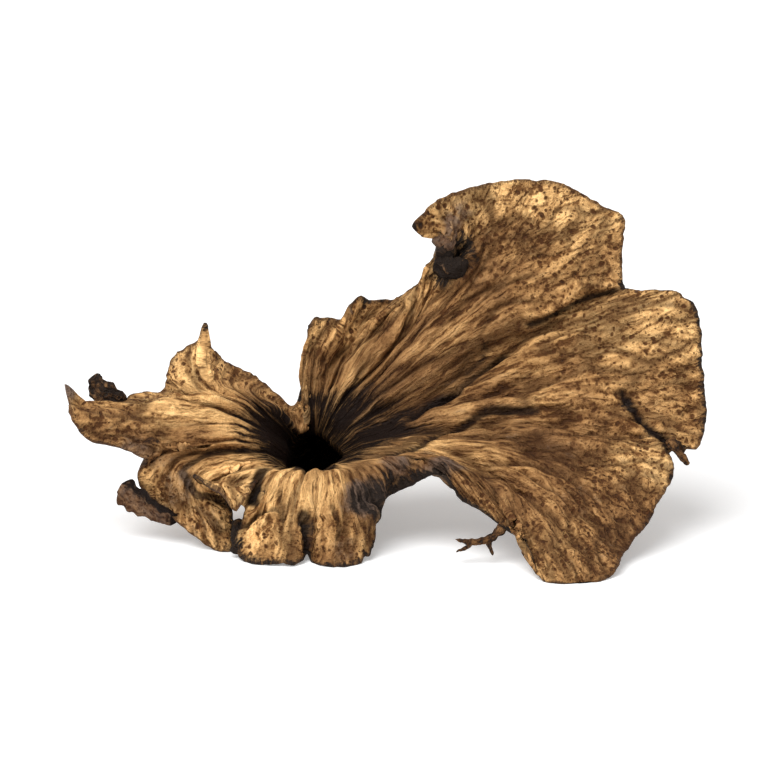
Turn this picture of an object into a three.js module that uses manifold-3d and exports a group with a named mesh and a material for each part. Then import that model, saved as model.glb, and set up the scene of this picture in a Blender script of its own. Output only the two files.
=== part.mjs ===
// Dried black trumpet mushroom, in millimetres, +Z up.
// One hollow fruit body: a ruffled funnel of thin flesh that narrows into a furrowed, hollow stem.
// It lies on two lobes of its margin, a fold at its left and its stem; the mouth looks toward -Y.
import * as THREE from "three";
import { mergeVertices } from "three/addons/utils/BufferGeometryUtils.js";
import Module from "manifold-3d";

const wasm = await Module();
wasm.setup();

// Flesh
const CAP_FLESH = 1.3; // thickness of the funnel's flesh
const EDGE_FLESH = 0.9; // thickness at the margin
const STEM_FLESH = 1.6; // thickness of the stem's wall
const FLESH_BY_LEVEL = [[-1, STEM_FLESH], [0, CAP_FLESH], [1.5, CAP_FLESH], [2, EDGE_FLESH]];
const COLUMN_STEP = 3.4; // longest step between two columns along the margin
const CHORD_POWER = 0.75; // how strongly long spans slow the curve that runs down a column

// Levels name the heights on a column: -6 is the stem's base, 0 the crest of the throat,
// 1 the middle of the sheet and 2 its margin.
const INNER_LEVELS = [-4.2, -3.4, -2.6, -1.8, -1.2, -0.8, -0.4, 0, 0.25, 0.5, 0.75, 1, 1.25, 1.5, 1.75, 2];
const OUTER_LEVELS = [2, 1.75, 1.5, 1.25, 1, 0.75, 0.5, 0.25, 0, -0.5, -1, -1.6, -2.4, -3.2, -4, -5, -6];

// Stem rings from the throat to the base: centre, radius of the wall's middle, direction toward the mouth.
const STEM = [
  [[0.5, 3.0, 8.0], 4.0, [-0.05, -0.62, 0.78]],
  [[0.8, 7.0, 5.7], 3.9, [-0.05, -0.88, 0.47]],
  [[1.6, 13.0, 4.4], 3.5, [-0.15, -0.98, 0.12]],
  [[3.2, 21.0, 3.9], 3.1, [-0.22, -0.97, 0.05]],
  [[5.4, 30.0, 3.2], 2.6, [-0.24, -0.97, 0.05]],
  [[8.0, 39.5, 2.4], 2.0, [-0.25, -0.97, 0.05]],
];
const SIDE_BEARING = 119; // bearing that points to +X on a stem ring
// Lengthwise furrows of the stem: count round the stem, share of the radius, phase in radians.
const FURROWS = [
  [3, 0.1, 0.6],
  [5, 0.05, 0],
];

// Funnel by bearing in degrees round the mouth: the crest of the throat, then the middle of the sheet.
const FUNNEL = [
  [0, [-1.5, 5.0, 10.6], [-1.7, 5.2, 11.6]],
  [30, [0.3, 5.8, 13.3], [0.3, 7.8, 17.8]],
  [50, [2.9, 6.0, 13.7], [7.0, 9.4, 20.2]],
  [58, [3.7, 5.8, 13.6], [11.2, 9.6, 23.2]],
  [67, [4.7, 5.5, 13.3], [15.0, 9.3, 24.8]],
  [83, [6.5, 4.5, 13.1], [20.2, 8.0, 23.8]],
  [100, [8.6, 3.0, 12.2], [24.7, 6.0, 18.3]],
  [115, [9.1, 1.0, 11.1], [26.8, 2.0, 13.5]],
  [128, [9.6, -1.0, 10.3], [26.0, -3.0, 10.7]],
  [141, [9.9, -2.5, 9.9], [23.4, -8.0, 8.0]],
  [150, [9.9, -3.5, 9.7], [20.3, -9.0, 8.3]],
  [163, [9.1, -4.2, 9.5], [15.0, -7.0, 9.3]],
  [173, [7.8, -4.8, 9.3], [10.1, -6.5, 9.2]],
  [184, [5.5, -5.5, 8.7], [6.8, -8.0, 7.2]],
  [197, [3.1, -6.0, 8.2], [3.9, -11.0, 4.9]],
  [215, [-0.8, -6.0, 8.0], [-2.1, -10.5, 4.7]],
  [230, [-3.4, -5.5, 7.9], [-5.7, -9.5, 4.4]],
  [245, [-5.2, -4.5, 8.4], [-9.1, -7.0, 7.7]],
  [262, [-6.5, -3.5, 8.9], [-12.2, -4.5, 6.5]],
  [280, [-7.8, -2.0, 9.8], [-15.6, -3.0, 9.3]],
  [300, [-8.3, -0.6, 11.2], [-16.4, -2.2, 11.9]],
  [318, [-7.8, 1.8, 13.0], [-14.8, 1.0, 14.8]],
  [340, [-5.5, 3.6, 13.2], [-9.6, 3.8, 16.0]],
  [352, [-3.1, 4.4, 12.3], [-5.2, 5.0, 14.2]],
];

// Margin, lobe by lobe, once round the mouth by the same bearings.
const UPRIGHT_LOBE = [
  [0, [-1.9, 5.5, 12.9]],
  [10, [-0.6, 7, 14.8]],
  [20, [0.4, 8.5, 19.5]],
  [28, [0.7, 9.5, 22.3]],
  [36, [4.7, 10.6, 22.4]],
  [38.5, [5, 10.8, 23.7]],
  [40, [5.9, 11, 24.4]],
  [41.5, [6.9, 11.3, 23.9]],
  [46, [10.7, 11.6, 24.8]],
];
const UPPER_FAN = [
  [50, [13.9, 11.6, 26.9]],
  [55, [16, 11.4, 29.8]],
  [57.3, [15.0, 11, 32.9]],
  [58.6, [12.9, 10, 32.5]],
  [59.8, [11.2, 9, 33.4]],
  [61, [12.2, 9.6, 34.5]],
  [63, [15.2, 11, 36.2]],
  [66, [20.3, 13, 37.3]],
  [69, [24.4, 14, 37.7]],
  [74, [30, 14, 36.9]],
  [79, [34.3, 13, 34.7]],
  [83, [36.4, 12, 33.7]],
  [87, [36.1, 10.5, 29.8]],
  [90, [36.4, 9.5, 26]],
];
const SIDE_FAN = [
  [93, [38.5, 8, 25.9]],
  [97, [41.9, 7, 26.4]],
  [101, [44.5, 6, 25.1]],
  [106, [45.2, 4.5, 21.4]],
  [112, [45.4, 2.5, 16.6]],
  [117, [45.5, 0, 12.5]],
  [119.5, [45.2, -1.6, 11.4]],
  [120.8, [44.6, -2.1, 10.6]],
  [122, [43, -2.3, 10.8]],
  [124, [40.6, -2.4, 11.3]],
];
const RIGHT_LOBE = [
  [126, [41.2, -3.4, 10.2]],
  [128, [42, -5, 8.9]],
  [131, [39.8, -9, 5.3]],
  [135, [36.5, -14.2, 2.6]],
  [138, [35.1, -18.2, 0.9]],
  [141, [33.1, -21, 0]],
  [145, [30, -21.6, -0.2]],
  [149, [26.7, -20.4, 0.1]],
  [153, [25.2, -16.5, 3.1]],
  [158, [21.7, -13.7, 4.9]],
];
const ARCH = [
  [163, [17.9, -10.6, 6.6]],
  [168, [15.3, -8, 9.1]],
  [173, [11.4, -7, 7.2]],
  [178, [8.6, -8, 5.6]],
];
const FRONT_LOBE = [
  [184, [7.5, -10, 3.2]],
  [190, [7.3, -13, 0.6]],
  [197, [4.4, -14.8, -0.2]],
  [205, [0.8, -14.5, 0.2]],
  [215, [-3.2, -14.5, -0.1]],
  [224, [-6.8, -13.2, 0.1]],
  [229, [-7.8, -11, 1.2]],
  [234, [-6.1, -8, 5.3]],
];
const SMALL_PLEAT = [
  [238, [-5.2, -6, 7.1]],
  [242, [-6.7, -9, 6.6]],
  [246, [-8.3, -10.8, 5.4]],
  [250, [-10.4, -9.2, 7]],
  [254, [-13, -7, 8.3]],
];
const LOW_LOBE = [
  [258, [-9.2, -4.8, 5]],
  [262, [-8.4, -9, -0.1]],
  [267, [-11.1, -8.3, 0.4]],
  [272, [-14.8, -6, 2.6]],
  [278, [-18.7, -4.5, 5.9]],
  [283, [-19.2, -3.5, 8.1]],
];
const LEFT_WING = [
  [287, [-17.7, -3.5, 9.4]],
  [292, [-22.4, -4, 11.2]],
  [298, [-26, -3.5, 12.4]],
  [304, [-27.2, -2, 14.7]],
  [306.8, [-27.1, -0.9, 14.6]],
  [308.5, [-26.9, -0.2, 14.6]],
  [310.2, [-26.4, 0.5, 14.6]],
  [313, [-25.3, 1.5, 14.9]],
  [318, [-21, 2.5, 14.9]],
  [323, [-16.4, 4, 15.6]],
];
const LEFT_HUMP = [
  [327, [-15.6, 5.5, 18.6]],
  [331, [-13.3, 6, 20.5]],
  [333, [-12.3, 6, 21.3]],
  [334, [-11.7, 6, 22.9]],
  [335, [-11.5, 6.1, 20]],
  [337, [-10.6, 6.5, 18.7]],
  [345, [-6.4, 6.5, 16.8]],
  [353, [-3.8, 6, 14.5]],
];
const MARGIN = [
  ...UPRIGHT_LOBE,
  ...UPPER_FAN,
  ...SIDE_FAN,
  ...RIGHT_LOBE,
  ...ARCH,
  ...FRONT_LOBE,
  ...SMALL_PLEAT,
  ...LOW_LOBE,
  ...LEFT_WING,
  ...LEFT_HUMP,
];

// Valley folds on the inner side: [level, bearing] along the fold, half width and depth.
const CREASES = [
  { path: [[-0.4, 97], [0.4, 97], [1, 96], [1.5, 92]], width: 1.6, depth: 1.3 },
  { path: [[-0.2, 119], [1, 119], [2, 124]], width: 1.6, depth: 0.8 },
  { path: [[0, 45], [1, 43], [2, 45]], width: 1.8, depth: 0.9 },
  { path: [[0.7, 206], [2, 206]], width: 1.3, depth: 1.4 },
  { path: [[0, 270], [1, 281], [2, 287]], width: 1.8, depth: 0.8 },
  { path: [[0, 66], [1, 61]], width: 1.8, depth: 0.7 },
  { path: [[0.2, 143], [1, 143], [2, 153]], width: 1.8, depth: 0.6 },
];
const CREASE_RUN_IN = 0.5; // levels over which a fold deepens from nothing
const CREASE_RUN_OUT = 0.3; // levels over which it fades past its end

// Soft pushes on the sheet: level and bearing of the middle, reach down and up in levels,
// reach round in degrees, and the move there.
const BENDS = [
  { level: 1.74, bearing: 59.6, down: 0.3, up: 0.2, round: 3.0, move: [4.0, 1.2, 0] },
  { level: 1.85, bearing: 59.6, down: 0.14, up: 0.1, round: 2.5, move: [1.0, 0.5, 1.1] },
  { level: 2, bearing: 308.5, down: 0.09, up: 0.2, round: 1.2, move: [-1.0, 0, 2.7] },
];

// Narrow curled shreds of the margin: spine points, full widths along them, thickness,
// the side they face and how far their edges curl to that side.
const SHREDS = [
  {
    spine: [
      [-14.4, -5.9, 2.9],
      [-16.5, -5.9, 3.2],
      [-18.4, -4.9, 3.9],
      [-20.1, -4.1, 4.9],
      [-21.5, -3.6, 6.1],
    ],
    widths: [1.1, 2.0, 3.0, 3.6, 3.0],
    thickness: 0.7,
    facing: [0.2, -0.9, -0.35],
    curl: 0.4,
  },
  {
    spine: [
      [-20.7, 2.4, 14.6],
      [-22.2, 2.1, 14.8],
      [-23.6, 2.2, 15.3],
      [-24.2, 2.5, 16.2],
      [-24.3, 2.7, 17.4],
    ],
    widths: [0.9, 1.9, 2.6, 1.9, 0.9],
    thickness: 0.8,
    facing: [0, -1, 0.2],
    curl: 0.2,
  },
];
const SHRED_SIDES = 8;
const SHRED_STEPS = 8;

const vector = (xyz) => new THREE.Vector3(...xyz);
const radians = THREE.MathUtils.degToRad;

// A point between a and b on the cubic that leaves a with slope ta and reaches b with slope tb.
function hermite(a, ta, b, tb, s) {
  const s2 = s * s;
  const s3 = s2 * s;
  return new THREE.Vector3()
    .addScaledVector(a, 2 * s3 - 3 * s2 + 1)
    .addScaledVector(ta, s3 - 2 * s2 + s)
    .addScaledVector(b, 3 * s2 - 2 * s3)
    .addScaledVector(tb, s3 - s2);
}

// Slope of a curve at its middle one of three points, with the gaps to the points before and after.
function slopeAt(before, here, after, gapBefore, gapAfter) {
  const share = gapAfter / (gapBefore + gapAfter);
  return new THREE.Vector3()
    .addScaledVector(here.clone().sub(before), share / gapBefore)
    .addScaledVector(after.clone().sub(here), (1 - share) / gapAfter);
}

// A closed smooth curve by bearing through knots of [bearing, [x, y, z]].
function closedCurve(knots) {
  const count = knots.length;
  const points = knots.map(([, xyz]) => vector(xyz));
  const bearing = (i) => knots[(i + count) % count][0] + 360 * Math.floor(i / count);
  const point = (i) => points[(i + count) % count];
  const slope = (i) =>
    slopeAt(point(i - 1), point(i), point(i + 1), bearing(i) - bearing(i - 1), bearing(i + 1) - bearing(i));
  return (angle) => {
    const i = knots.findLastIndex(([b]) => b <= angle);
    const gap = bearing(i + 1) - bearing(i);
    const s = (angle - bearing(i)) / gap;
    const [leave, reach] = [slope(i), slope(i + 1)].map((v) => v.multiplyScalar(gap));
    return hermite(point(i), leave, point(i + 1), reach, s);
  };
}

// The point of a stem ring at a bearing, on a circle drawn in by the stem's furrows.
function stemPoint([centre, radius, direction], bearing) {
  const axis = vector(direction).normalize();
  const right = new THREE.Vector3(1, 0, 0).addScaledVector(axis, -axis.x).normalize();
  const up = new THREE.Vector3().crossVectors(axis, right);
  const turn = radians(SIDE_BEARING - bearing);
  const furrowed = FURROWS.reduce((sum, [n, share, phase]) => sum + share * Math.cos(n * turn + phase), 1);
  return vector(centre)
    .addScaledVector(right, radius * furrowed * Math.cos(turn))
    .addScaledVector(up, radius * furrowed * Math.sin(turn));
}

// The curve down one column of points, as a function of the level.
function columnCurve(points, firstLevel) {
  const gap = points.slice(1).map((p, i) => p.distanceTo(points[i]) ** CHORD_POWER);
  const last = points.length - 1;
  const slope = (i) => {
    if (i === 0) return points[1].clone().sub(points[0]).divideScalar(gap[0]);
    if (i === last) return points[last].clone().sub(points[last - 1]).divideScalar(gap[last - 1]);
    return slopeAt(points[i - 1], points[i], points[i + 1], gap[i - 1], gap[i]);
  };
  return (level) => {
    const at = level - firstLevel;
    const i = Math.min(Math.floor(at), last - 1);
    const [leave, reach] = [slope(i), slope(i + 1)].map((v) => v.multiplyScalar(gap[i]));
    return hermite(points[i], leave, points[i + 1], reach, at - i);
  };
}

// Bearings of the columns: every knot of the margin, and even steps between knots that lie far apart.
function columnBearings() {
  return MARGIN.flatMap(([bearing, xyz], i) => {
    const [nextBearing, nextXyz] = MARGIN[(i + 1) % MARGIN.length];
    const span = (nextBearing - bearing + 360) % 360;
    const steps = Math.ceil(vector(xyz).distanceTo(vector(nextXyz)) / COLUMN_STEP);
    return Array.from({ length: steps }, (_, k) => bearing + (span * k) / steps);
  });
}

const crest = closedCurve(FUNNEL.map(([bearing, low]) => [bearing, low]));
const middle = closedCurve(FUNNEL.map(([bearing, , high]) => [bearing, high]));
const margin = closedCurve(MARGIN);

// How the soft pushes move the sheet at one level and bearing.
function bendMove(level, bearing) {
  return BENDS.reduce((sum, bend) => {
    const reach = level < bend.level ? bend.down : bend.up;
    const away = ((level - bend.level) / reach) ** 2 + ((bearing - bend.bearing) / bend.round) ** 2;
    return sum.addScaledVector(vector(bend.move), Math.exp(-away));
  }, new THREE.Vector3());
}

// Rows of points on the middle of the flesh, one row a level and one column a bearing.
function plainSheet(bearings, levels) {
  const columns = bearings.map((b) => {
    const stem = STEM.map((ring) => stemPoint(ring, b)).reverse();
    return columnCurve([...stem, crest(b), middle(b), margin(b)], -STEM.length);
  });
  return levels.map((level) => columns.map((column, c) => column(level).add(bendMove(level, bearings[c]))));
}

// Unit normals of a sheet, out of its inner side.
function sheetNormals(rows) {
  const columns = rows[0].length;
  return rows.map((row, r) =>
    row.map((_, c) => {
      const around = row[(c + 1) % columns].clone().sub(row[(c + columns - 1) % columns]);
      const up = rows[Math.min(r + 1, rows.length - 1)][c].clone().sub(rows[Math.max(r - 1, 0)][c]);
      return around.cross(up).normalize();
    }),
  );
}

// Value at x of the broken line through [x, y] points, level beyond its ends.
function brokenLine(points, x) {
  const i = points.findIndex(([px]) => px > x);
  if (i === 0) return points[0][1];
  if (i < 0) return points.at(-1)[1];
  const [[x0, y0], [x1, y1]] = [points[i - 1], points[i]];
  return THREE.MathUtils.mapLinear(x, x0, x1, y0, y1);
}

// Distance along a row of points from its first one to each, and once round at the end.
function arcLengths(row) {
  const lengths = [0];
  row.forEach((p, c) => lengths.push(lengths[c] + p.distanceTo(row[(c + 1) % row.length])));
  return lengths;
}

// How deep the valley folds press each point of one row.
function creaseDepths(row, bearings, level) {
  const arc = arcLengths(row);
  const round = arc.at(-1);
  const byBearing = [...bearings, 360].map((b, c) => [b, arc[c]]);
  const folds = CREASES.map(({ path, width, depth }) => {
    const runIn = (level - path[0][0]) / CREASE_RUN_IN + 0.5;
    const runOut = (path.at(-1)[0] + CREASE_RUN_OUT - level) / CREASE_RUN_OUT;
    const strength = depth * THREE.MathUtils.clamp(Math.min(runIn, runOut), 0, 1);
    return { at: brokenLine(byBearing, brokenLine(path, level)), width, strength };
  });
  return row.map((_, c) =>
    folds.reduce((sum, { at, width, strength }) => {
      const away = Math.abs(arc[c] - at);
      return sum + strength * Math.exp(-((Math.min(away, round - away) / width) ** 2));
    }, 0),
  );
}

// Rows of the folded sheet, moved by half the flesh to the inner (+1) or the outer (-1) side.
function fleshSide(bearings, levels, side) {
  const rising = levels[0] < levels.at(-1);
  const ordered = rising ? levels : [...levels].reverse();
  const plain = plainSheet(bearings, ordered);
  const plainNormals = sheetNormals(plain);
  const folded = plain.map((row, r) => {
    const depths = creaseDepths(row, bearings, ordered[r]);
    return row.map((p, c) => p.clone().addScaledVector(plainNormals[r][c], -depths[c]));
  });
  const normals = sheetNormals(folded);
  const rows = folded.map((row, r) => {
    const half = brokenLine(FLESH_BY_LEVEL, ordered[r]) / 2;
    return row.map((p, c) => p.clone().addScaledVector(normals[r][c], side * half));
  });
  return rising ? rows : rows.reverse();
}

// Closed body whose skin runs over the rows in turn, shut by a fan at its first and last row.
function closedBody(rows) {
  const columns = rows[0].length;
  const centres = [rows[0], rows.at(-1)].map((row) =>
    row.reduce((sum, p) => sum.add(p), new THREE.Vector3()).divideScalar(columns),
  );
  const points = [...rows.flat(), ...centres];
  const first = rows.length * columns;
  const index = [];
  for (let c = 0; c < columns; c += 1) {
    const next = (c + 1) % columns;
    const end = (rows.length - 1) * columns;
    index.push(first, next, c);
    index.push(first + 1, end + c, end + next);
    for (let r = 0; r < rows.length - 1; r += 1) {
      const [a, b] = [r * columns + c, r * columns + next];
      index.push(a, b, b + columns, a, b + columns, a + columns);
    }
  }
  return solidOf(new THREE.BufferGeometry().setFromPoints(points).setIndex(index));
}

// A geometry whose shared corners are merged, as a solid that can be joined and cut.
function solidOf(geometry) {
  const bare = geometry.clone();
  bare.deleteAttribute("normal");
  bare.deleteAttribute("uv");
  const merged = mergeVertices(bare, 1e-4);
  const mesh = new wasm.Mesh({
    numProp: 3,
    vertProperties: merged.attributes.position.array,
    triVerts: new Uint32Array(merged.index.array),
  });
  return new wasm.Manifold(mesh);
}

// A flat shred with an oval section that follows its spine and tapers with its widths.
function shred({ spine, widths, thickness, facing, curl }) {
  const path = new THREE.CatmullRomCurve3(spine.map(vector));
  const widthAt = (t) => brokenLine(widths.map((w, i) => [i / (widths.length - 1), w]), t);
  const rows = Array.from({ length: SHRED_STEPS + 1 }, (_, k) => {
    const t = k / SHRED_STEPS;
    const side = path.getTangent(t).cross(vector(facing)).normalize();
    const face = side.clone().cross(path.getTangent(t)).normalize();
    return Array.from({ length: SHRED_SIDES }, (__, n) => {
      const angle = (-2 * Math.PI * n) / SHRED_SIDES;
      const lift = (thickness / 2) * Math.sin(angle) + curl * Math.cos(angle) ** 2;
      return path
        .getPoint(t)
        .addScaledVector(side, (widthAt(t) / 2) * Math.cos(angle))
        .addScaledVector(face, lift);
    });
  });
  return closedBody(rows);
}

// Everything above the ground the mushroom lies on, which flattens what touches it.
function aboveGround() {
  const size = 200;
  return solidOf(new THREE.BoxGeometry(size, size, size).translate(0, 0, size / 2));
}

function fruitBody() {
  const bearings = columnBearings();
  const inner = fleshSide(bearings, INNER_LEVELS, 1);
  const outer = fleshSide(bearings, OUTER_LEVELS, -1);
  const joined = SHREDS.reduce((body, each) => body.add(shred(each)), closedBody([...inner, ...outer]));
  return joined.intersect(aboveGround());
}

// The solid's skin, moved so that the middle of its box is over the origin.
function centredGeometry(solid) {
  const { vertProperties, triVerts, numProp } = solid.getMesh();
  const geometry = new THREE.BufferGeometry()
    .setAttribute("position", new THREE.BufferAttribute(new Float32Array(vertProperties), numProp))
    .setIndex(new THREE.BufferAttribute(new Uint32Array(triVerts), 1));
  geometry.computeBoundingBox();
  const centre = geometry.boundingBox.getCenter(new THREE.Vector3());
  geometry.translate(-centre.x, -centre.y, 0);
  geometry.computeVertexNormals();
  return geometry;
}

const driedFlesh = new THREE.MeshStandardMaterial({ color: 0x7a5735, roughness: 0.9, metalness: 0 });
const mushroom = new THREE.Mesh(centredGeometry(fruitBody()), driedFlesh);
mushroom.name = "trumpet_fruit_body";

const group = new THREE.Group();
group.add(mushroom);

export default group;
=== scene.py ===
import itertools
import math

import bpy
import numpy as np
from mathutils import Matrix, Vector


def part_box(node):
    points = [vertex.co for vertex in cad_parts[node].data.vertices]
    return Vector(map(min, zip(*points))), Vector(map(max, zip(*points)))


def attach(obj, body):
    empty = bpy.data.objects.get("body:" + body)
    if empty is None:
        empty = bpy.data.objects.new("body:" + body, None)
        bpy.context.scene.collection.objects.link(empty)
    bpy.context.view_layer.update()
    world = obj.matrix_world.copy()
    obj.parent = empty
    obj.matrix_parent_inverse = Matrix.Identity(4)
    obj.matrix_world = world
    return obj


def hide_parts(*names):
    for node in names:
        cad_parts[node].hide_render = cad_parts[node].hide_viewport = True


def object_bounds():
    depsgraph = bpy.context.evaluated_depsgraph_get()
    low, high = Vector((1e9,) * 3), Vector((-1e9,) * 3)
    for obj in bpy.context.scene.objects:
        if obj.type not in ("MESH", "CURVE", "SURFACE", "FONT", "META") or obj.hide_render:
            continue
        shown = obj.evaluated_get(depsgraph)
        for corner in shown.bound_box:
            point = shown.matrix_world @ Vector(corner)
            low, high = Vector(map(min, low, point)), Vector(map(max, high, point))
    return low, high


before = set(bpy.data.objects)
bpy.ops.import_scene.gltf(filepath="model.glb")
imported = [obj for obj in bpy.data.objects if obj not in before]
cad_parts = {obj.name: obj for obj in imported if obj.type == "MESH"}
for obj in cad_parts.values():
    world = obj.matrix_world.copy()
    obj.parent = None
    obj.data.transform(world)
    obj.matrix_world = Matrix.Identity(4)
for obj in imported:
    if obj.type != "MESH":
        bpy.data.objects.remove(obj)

# One dried black trumpet mushroom: a ruffled funnel of thin flesh on a hollow stem, lying on its lobes.
# The form is laid out in millimetres with the throat at (0, 0, 9.5) and +Y away from the viewer,
# then moved onto the frame's middle and turned into metres as each mesh is made.

NODE = "trumpet_fruit_body"
BODY = "root"
MM = 0.001
cad_low, cad_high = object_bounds()

# ---------------------------------------------------------------- form: given points

# Stem rings from the throat to the base: centre, radius of the wall's middle, direction toward the mouth.
STEM = (
    ((0.5, 3.0, 8.0), 4.0, (-0.05, -0.62, 0.78)),
    ((0.8, 7.0, 5.7), 3.9, (-0.05, -0.88, 0.47)),
    ((1.6, 13.0, 4.4), 3.5, (-0.15, -0.98, 0.12)),
    ((3.2, 21.0, 3.9), 3.1, (-0.22, -0.97, 0.05)),
    ((5.4, 30.0, 3.2), 2.6, (-0.24, -0.97, 0.05)),
    ((8.0, 39.5, 2.4), 2.0, (-0.25, -0.97, 0.05)),
)
SIDE_BEARING = 119.0  # bearing that points to +X on a stem ring
FURROWS = ((3, 0.1, 0.6), (5, 0.05, 0.0))  # count round the stem, share of the radius, phase

# Funnel by bearing in degrees round the mouth: crest of the throat, then middle of the sheet.
FUNNEL = (
    (0, (-1.5, 5.0, 10.6), (-1.7, 5.2, 11.6)),
    (30, (0.3, 5.8, 13.3), (0.3, 7.8, 17.8)),
    (50, (2.9, 6.0, 13.7), (7.0, 9.4, 20.2)),
    (58, (3.7, 5.8, 13.6), (11.2, 9.6, 23.2)),
    (67, (4.7, 5.5, 13.3), (15.0, 9.3, 24.8)),
    (83, (6.5, 4.5, 13.1), (20.2, 8.0, 23.8)),
    (100, (8.6, 3.0, 12.2), (24.7, 6.0, 18.3)),
    (115, (9.1, 1.0, 11.1), (26.8, 2.0, 13.5)),
    (128, (9.6, -1.0, 10.3), (26.0, -3.0, 10.7)),
    (141, (9.9, -2.5, 9.9), (23.4, -8.0, 8.0)),
    (150, (9.9, -3.5, 9.7), (20.3, -9.0, 8.3)),
    (163, (9.1, -4.2, 9.5), (15.0, -7.0, 9.3)),
    (173, (7.8, -4.8, 9.3), (10.1, -6.5, 9.2)),
    (184, (5.5, -5.5, 8.7), (6.8, -8.0, 7.2)),
    (197, (3.1, -6.0, 8.2), (3.9, -11.0, 4.9)),
    (215, (-0.8, -6.0, 8.0), (-2.1, -10.5, 4.7)),
    (230, (-3.4, -5.5, 7.9), (-5.7, -9.5, 4.4)),
    (245, (-5.2, -4.5, 8.4), (-9.1, -7.0, 7.7)),
    (262, (-6.5, -3.5, 8.9), (-12.2, -4.5, 6.5)),
    (280, (-7.8, -2.0, 9.8), (-15.6, -3.0, 9.3)),
    (300, (-8.3, -0.6, 11.2), (-16.4, -2.2, 11.9)),
    (318, (-7.8, 1.8, 13.0), (-14.8, 1.0, 14.8)),
    (340, (-5.5, 3.6, 13.2), (-9.6, 3.8, 16.0)),
    (352, (-3.1, 4.4, 12.3), (-5.2, 5.0, 14.2)),
)

# Margin, lobe by lobe, once round the mouth by the same bearings.
UPRIGHT_LOBE = (
    (0, (-1.9, 5.5, 12.9)), (10, (-0.6, 7, 14.8)), (20, (0.4, 8.5, 19.5)), (28, (0.7, 9.5, 22.3)),
    (36, (4.7, 10.6, 22.4)), (38.5, (5, 10.8, 23.7)), (40, (5.9, 11, 24.4)),
    (41.5, (6.9, 11.3, 23.9)), (46, (10.7, 11.6, 24.8)),
)
UPPER_FAN = (
    (50, (13.9, 11.6, 26.9)), (55, (16, 11.4, 29.8)), (57.3, (15.0, 11, 32.9)), (58.6, (12.9, 10, 32.5)),
    (59.8, (11.2, 9, 33.4)), (61, (12.2, 9.6, 34.5)), (63, (15.2, 11, 36.2)), (66, (20.3, 13, 37.3)),
    (69, (24.4, 14, 37.7)), (74, (30, 14, 36.9)), (79, (34.3, 13, 34.7)),
    (83, (36.4, 12, 33.7)), (87, (36.1, 10.5, 29.8)), (90, (36.4, 9.5, 26)),
)
SIDE_FAN = (
    (93, (38.5, 8, 25.9)), (97, (41.9, 7, 26.4)), (101, (44.5, 6, 25.1)), (106, (45.2, 4.5, 21.4)),
    (112, (45.4, 2.5, 16.6)), (117, (45.5, 0, 12.5)), (119.5, (45.2, -1.6, 11.4)),
    (120.8, (44.6, -2.1, 10.6)), (122, (43, -2.3, 10.8)), (124, (40.6, -2.9, 10.7)),
)
RIGHT_LOBE = (
    (126, (41.2, -3.4, 10.2)), (128, (42, -5, 8.9)), (131, (39.8, -9, 5.3)), (135, (36.5, -14.2, 2.6)),
    (138, (35.1, -18.2, 0.9)), (141, (33.1, -21, 0)), (145, (30, -21.6, -0.2)), (149, (26.7, -20.4, 0.1)),
    (153, (25.2, -16.5, 3.1)), (158, (21.7, -13.7, 4.9)),
)
ARCH = (
    (163, (17.9, -10.6, 6.6)), (168, (15.3, -8, 9.1)), (173, (11.4, -7, 7.2)), (178, (8.6, -8, 5.6)),
)
FRONT_LOBE = (
    (184, (7.5, -10, 3.2)), (190, (7.3, -13, 0.6)), (197, (4.4, -14.8, -0.2)), (205, (0.8, -14.5, 0.2)),
    (215, (-3.2, -14.5, -0.1)), (224, (-6.8, -13.2, 0.1)), (229, (-7.8, -11, 1.2)), (234, (-6.1, -8, 5.3)),
)
SMALL_PLEAT = (
    (238, (-5.2, -6, 7.1)), (242, (-6.7, -9, 6.6)), (246, (-8.3, -10.8, 5.4)), (250, (-10.4, -9.2, 7)),
    (254, (-13, -7, 8.3)),
)
LOW_LOBE = (
    (258, (-9.2, -4.8, 5)), (262, (-8.4, -9, -0.1)), (267, (-11.1, -8.3, 0.4)), (272, (-14.8, -6, 2.6)),
    (278, (-18.7, -4.5, 5.9)), (283, (-19.2, -3.5, 8.1)),
)
LEFT_WING = (
    (287, (-17.7, -3.5, 9.4)), (292, (-22.4, -4, 11.2)), (298, (-26, -3.5, 12.4)), (304, (-27.2, -2, 14.7)),
    (306.8, (-27.1, -0.9, 14.6)), (308.5, (-26.9, -0.2, 14.6)), (310.2, (-26.4, 0.5, 14.6)),
    (313, (-25.3, 1.5, 14.9)), (318, (-21, 2.5, 14.9)), (323, (-16.4, 4, 15.6)),
)
LEFT_HUMP = (
    (327, (-15.6, 5.5, 18.6)), (331, (-13.3, 6, 20.5)), (333, (-12.3, 6, 21.3)), (334, (-11.7, 6, 22.9)),
    (335, (-11.5, 6.1, 20)), (337, (-10.6, 6.5, 18.7)),
    (345, (-6.4, 6.5, 16.8)), (353, (-3.8, 6, 14.5)),
)
MARGIN = (
    UPRIGHT_LOBE + UPPER_FAN + SIDE_FAN + RIGHT_LOBE + ARCH
    + FRONT_LOBE + SMALL_PLEAT + LOW_LOBE + LEFT_WING + LEFT_HUMP
)

# Valley folds on the inner side: (level, bearing) along the fold, half width and depth.
CREASES = (
    (((-0.4, 97), (0.4, 97), (1, 96), (1.5, 92)), 1.6, 1.3),
    (((-0.2, 119), (1, 119), (1.3, 121)), 1.6, 0.8),
    (((0, 45), (1, 43), (2, 45)), 1.8, 0.9),
    (((0.7, 206), (2, 206)), 1.3, 1.4),
    (((0, 270), (1, 281), (2, 287)), 1.8, 0.8),
    (((0, 66), (1, 61)), 1.8, 0.7),
    (((0.2, 143), (1, 143), (2, 153)), 1.8, 0.6),
)
CREASE_RUN_IN = 0.5  # levels over which a fold deepens at its start
CREASE_RUN_OUT = 0.3  # levels over which it fades past its end

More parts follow.
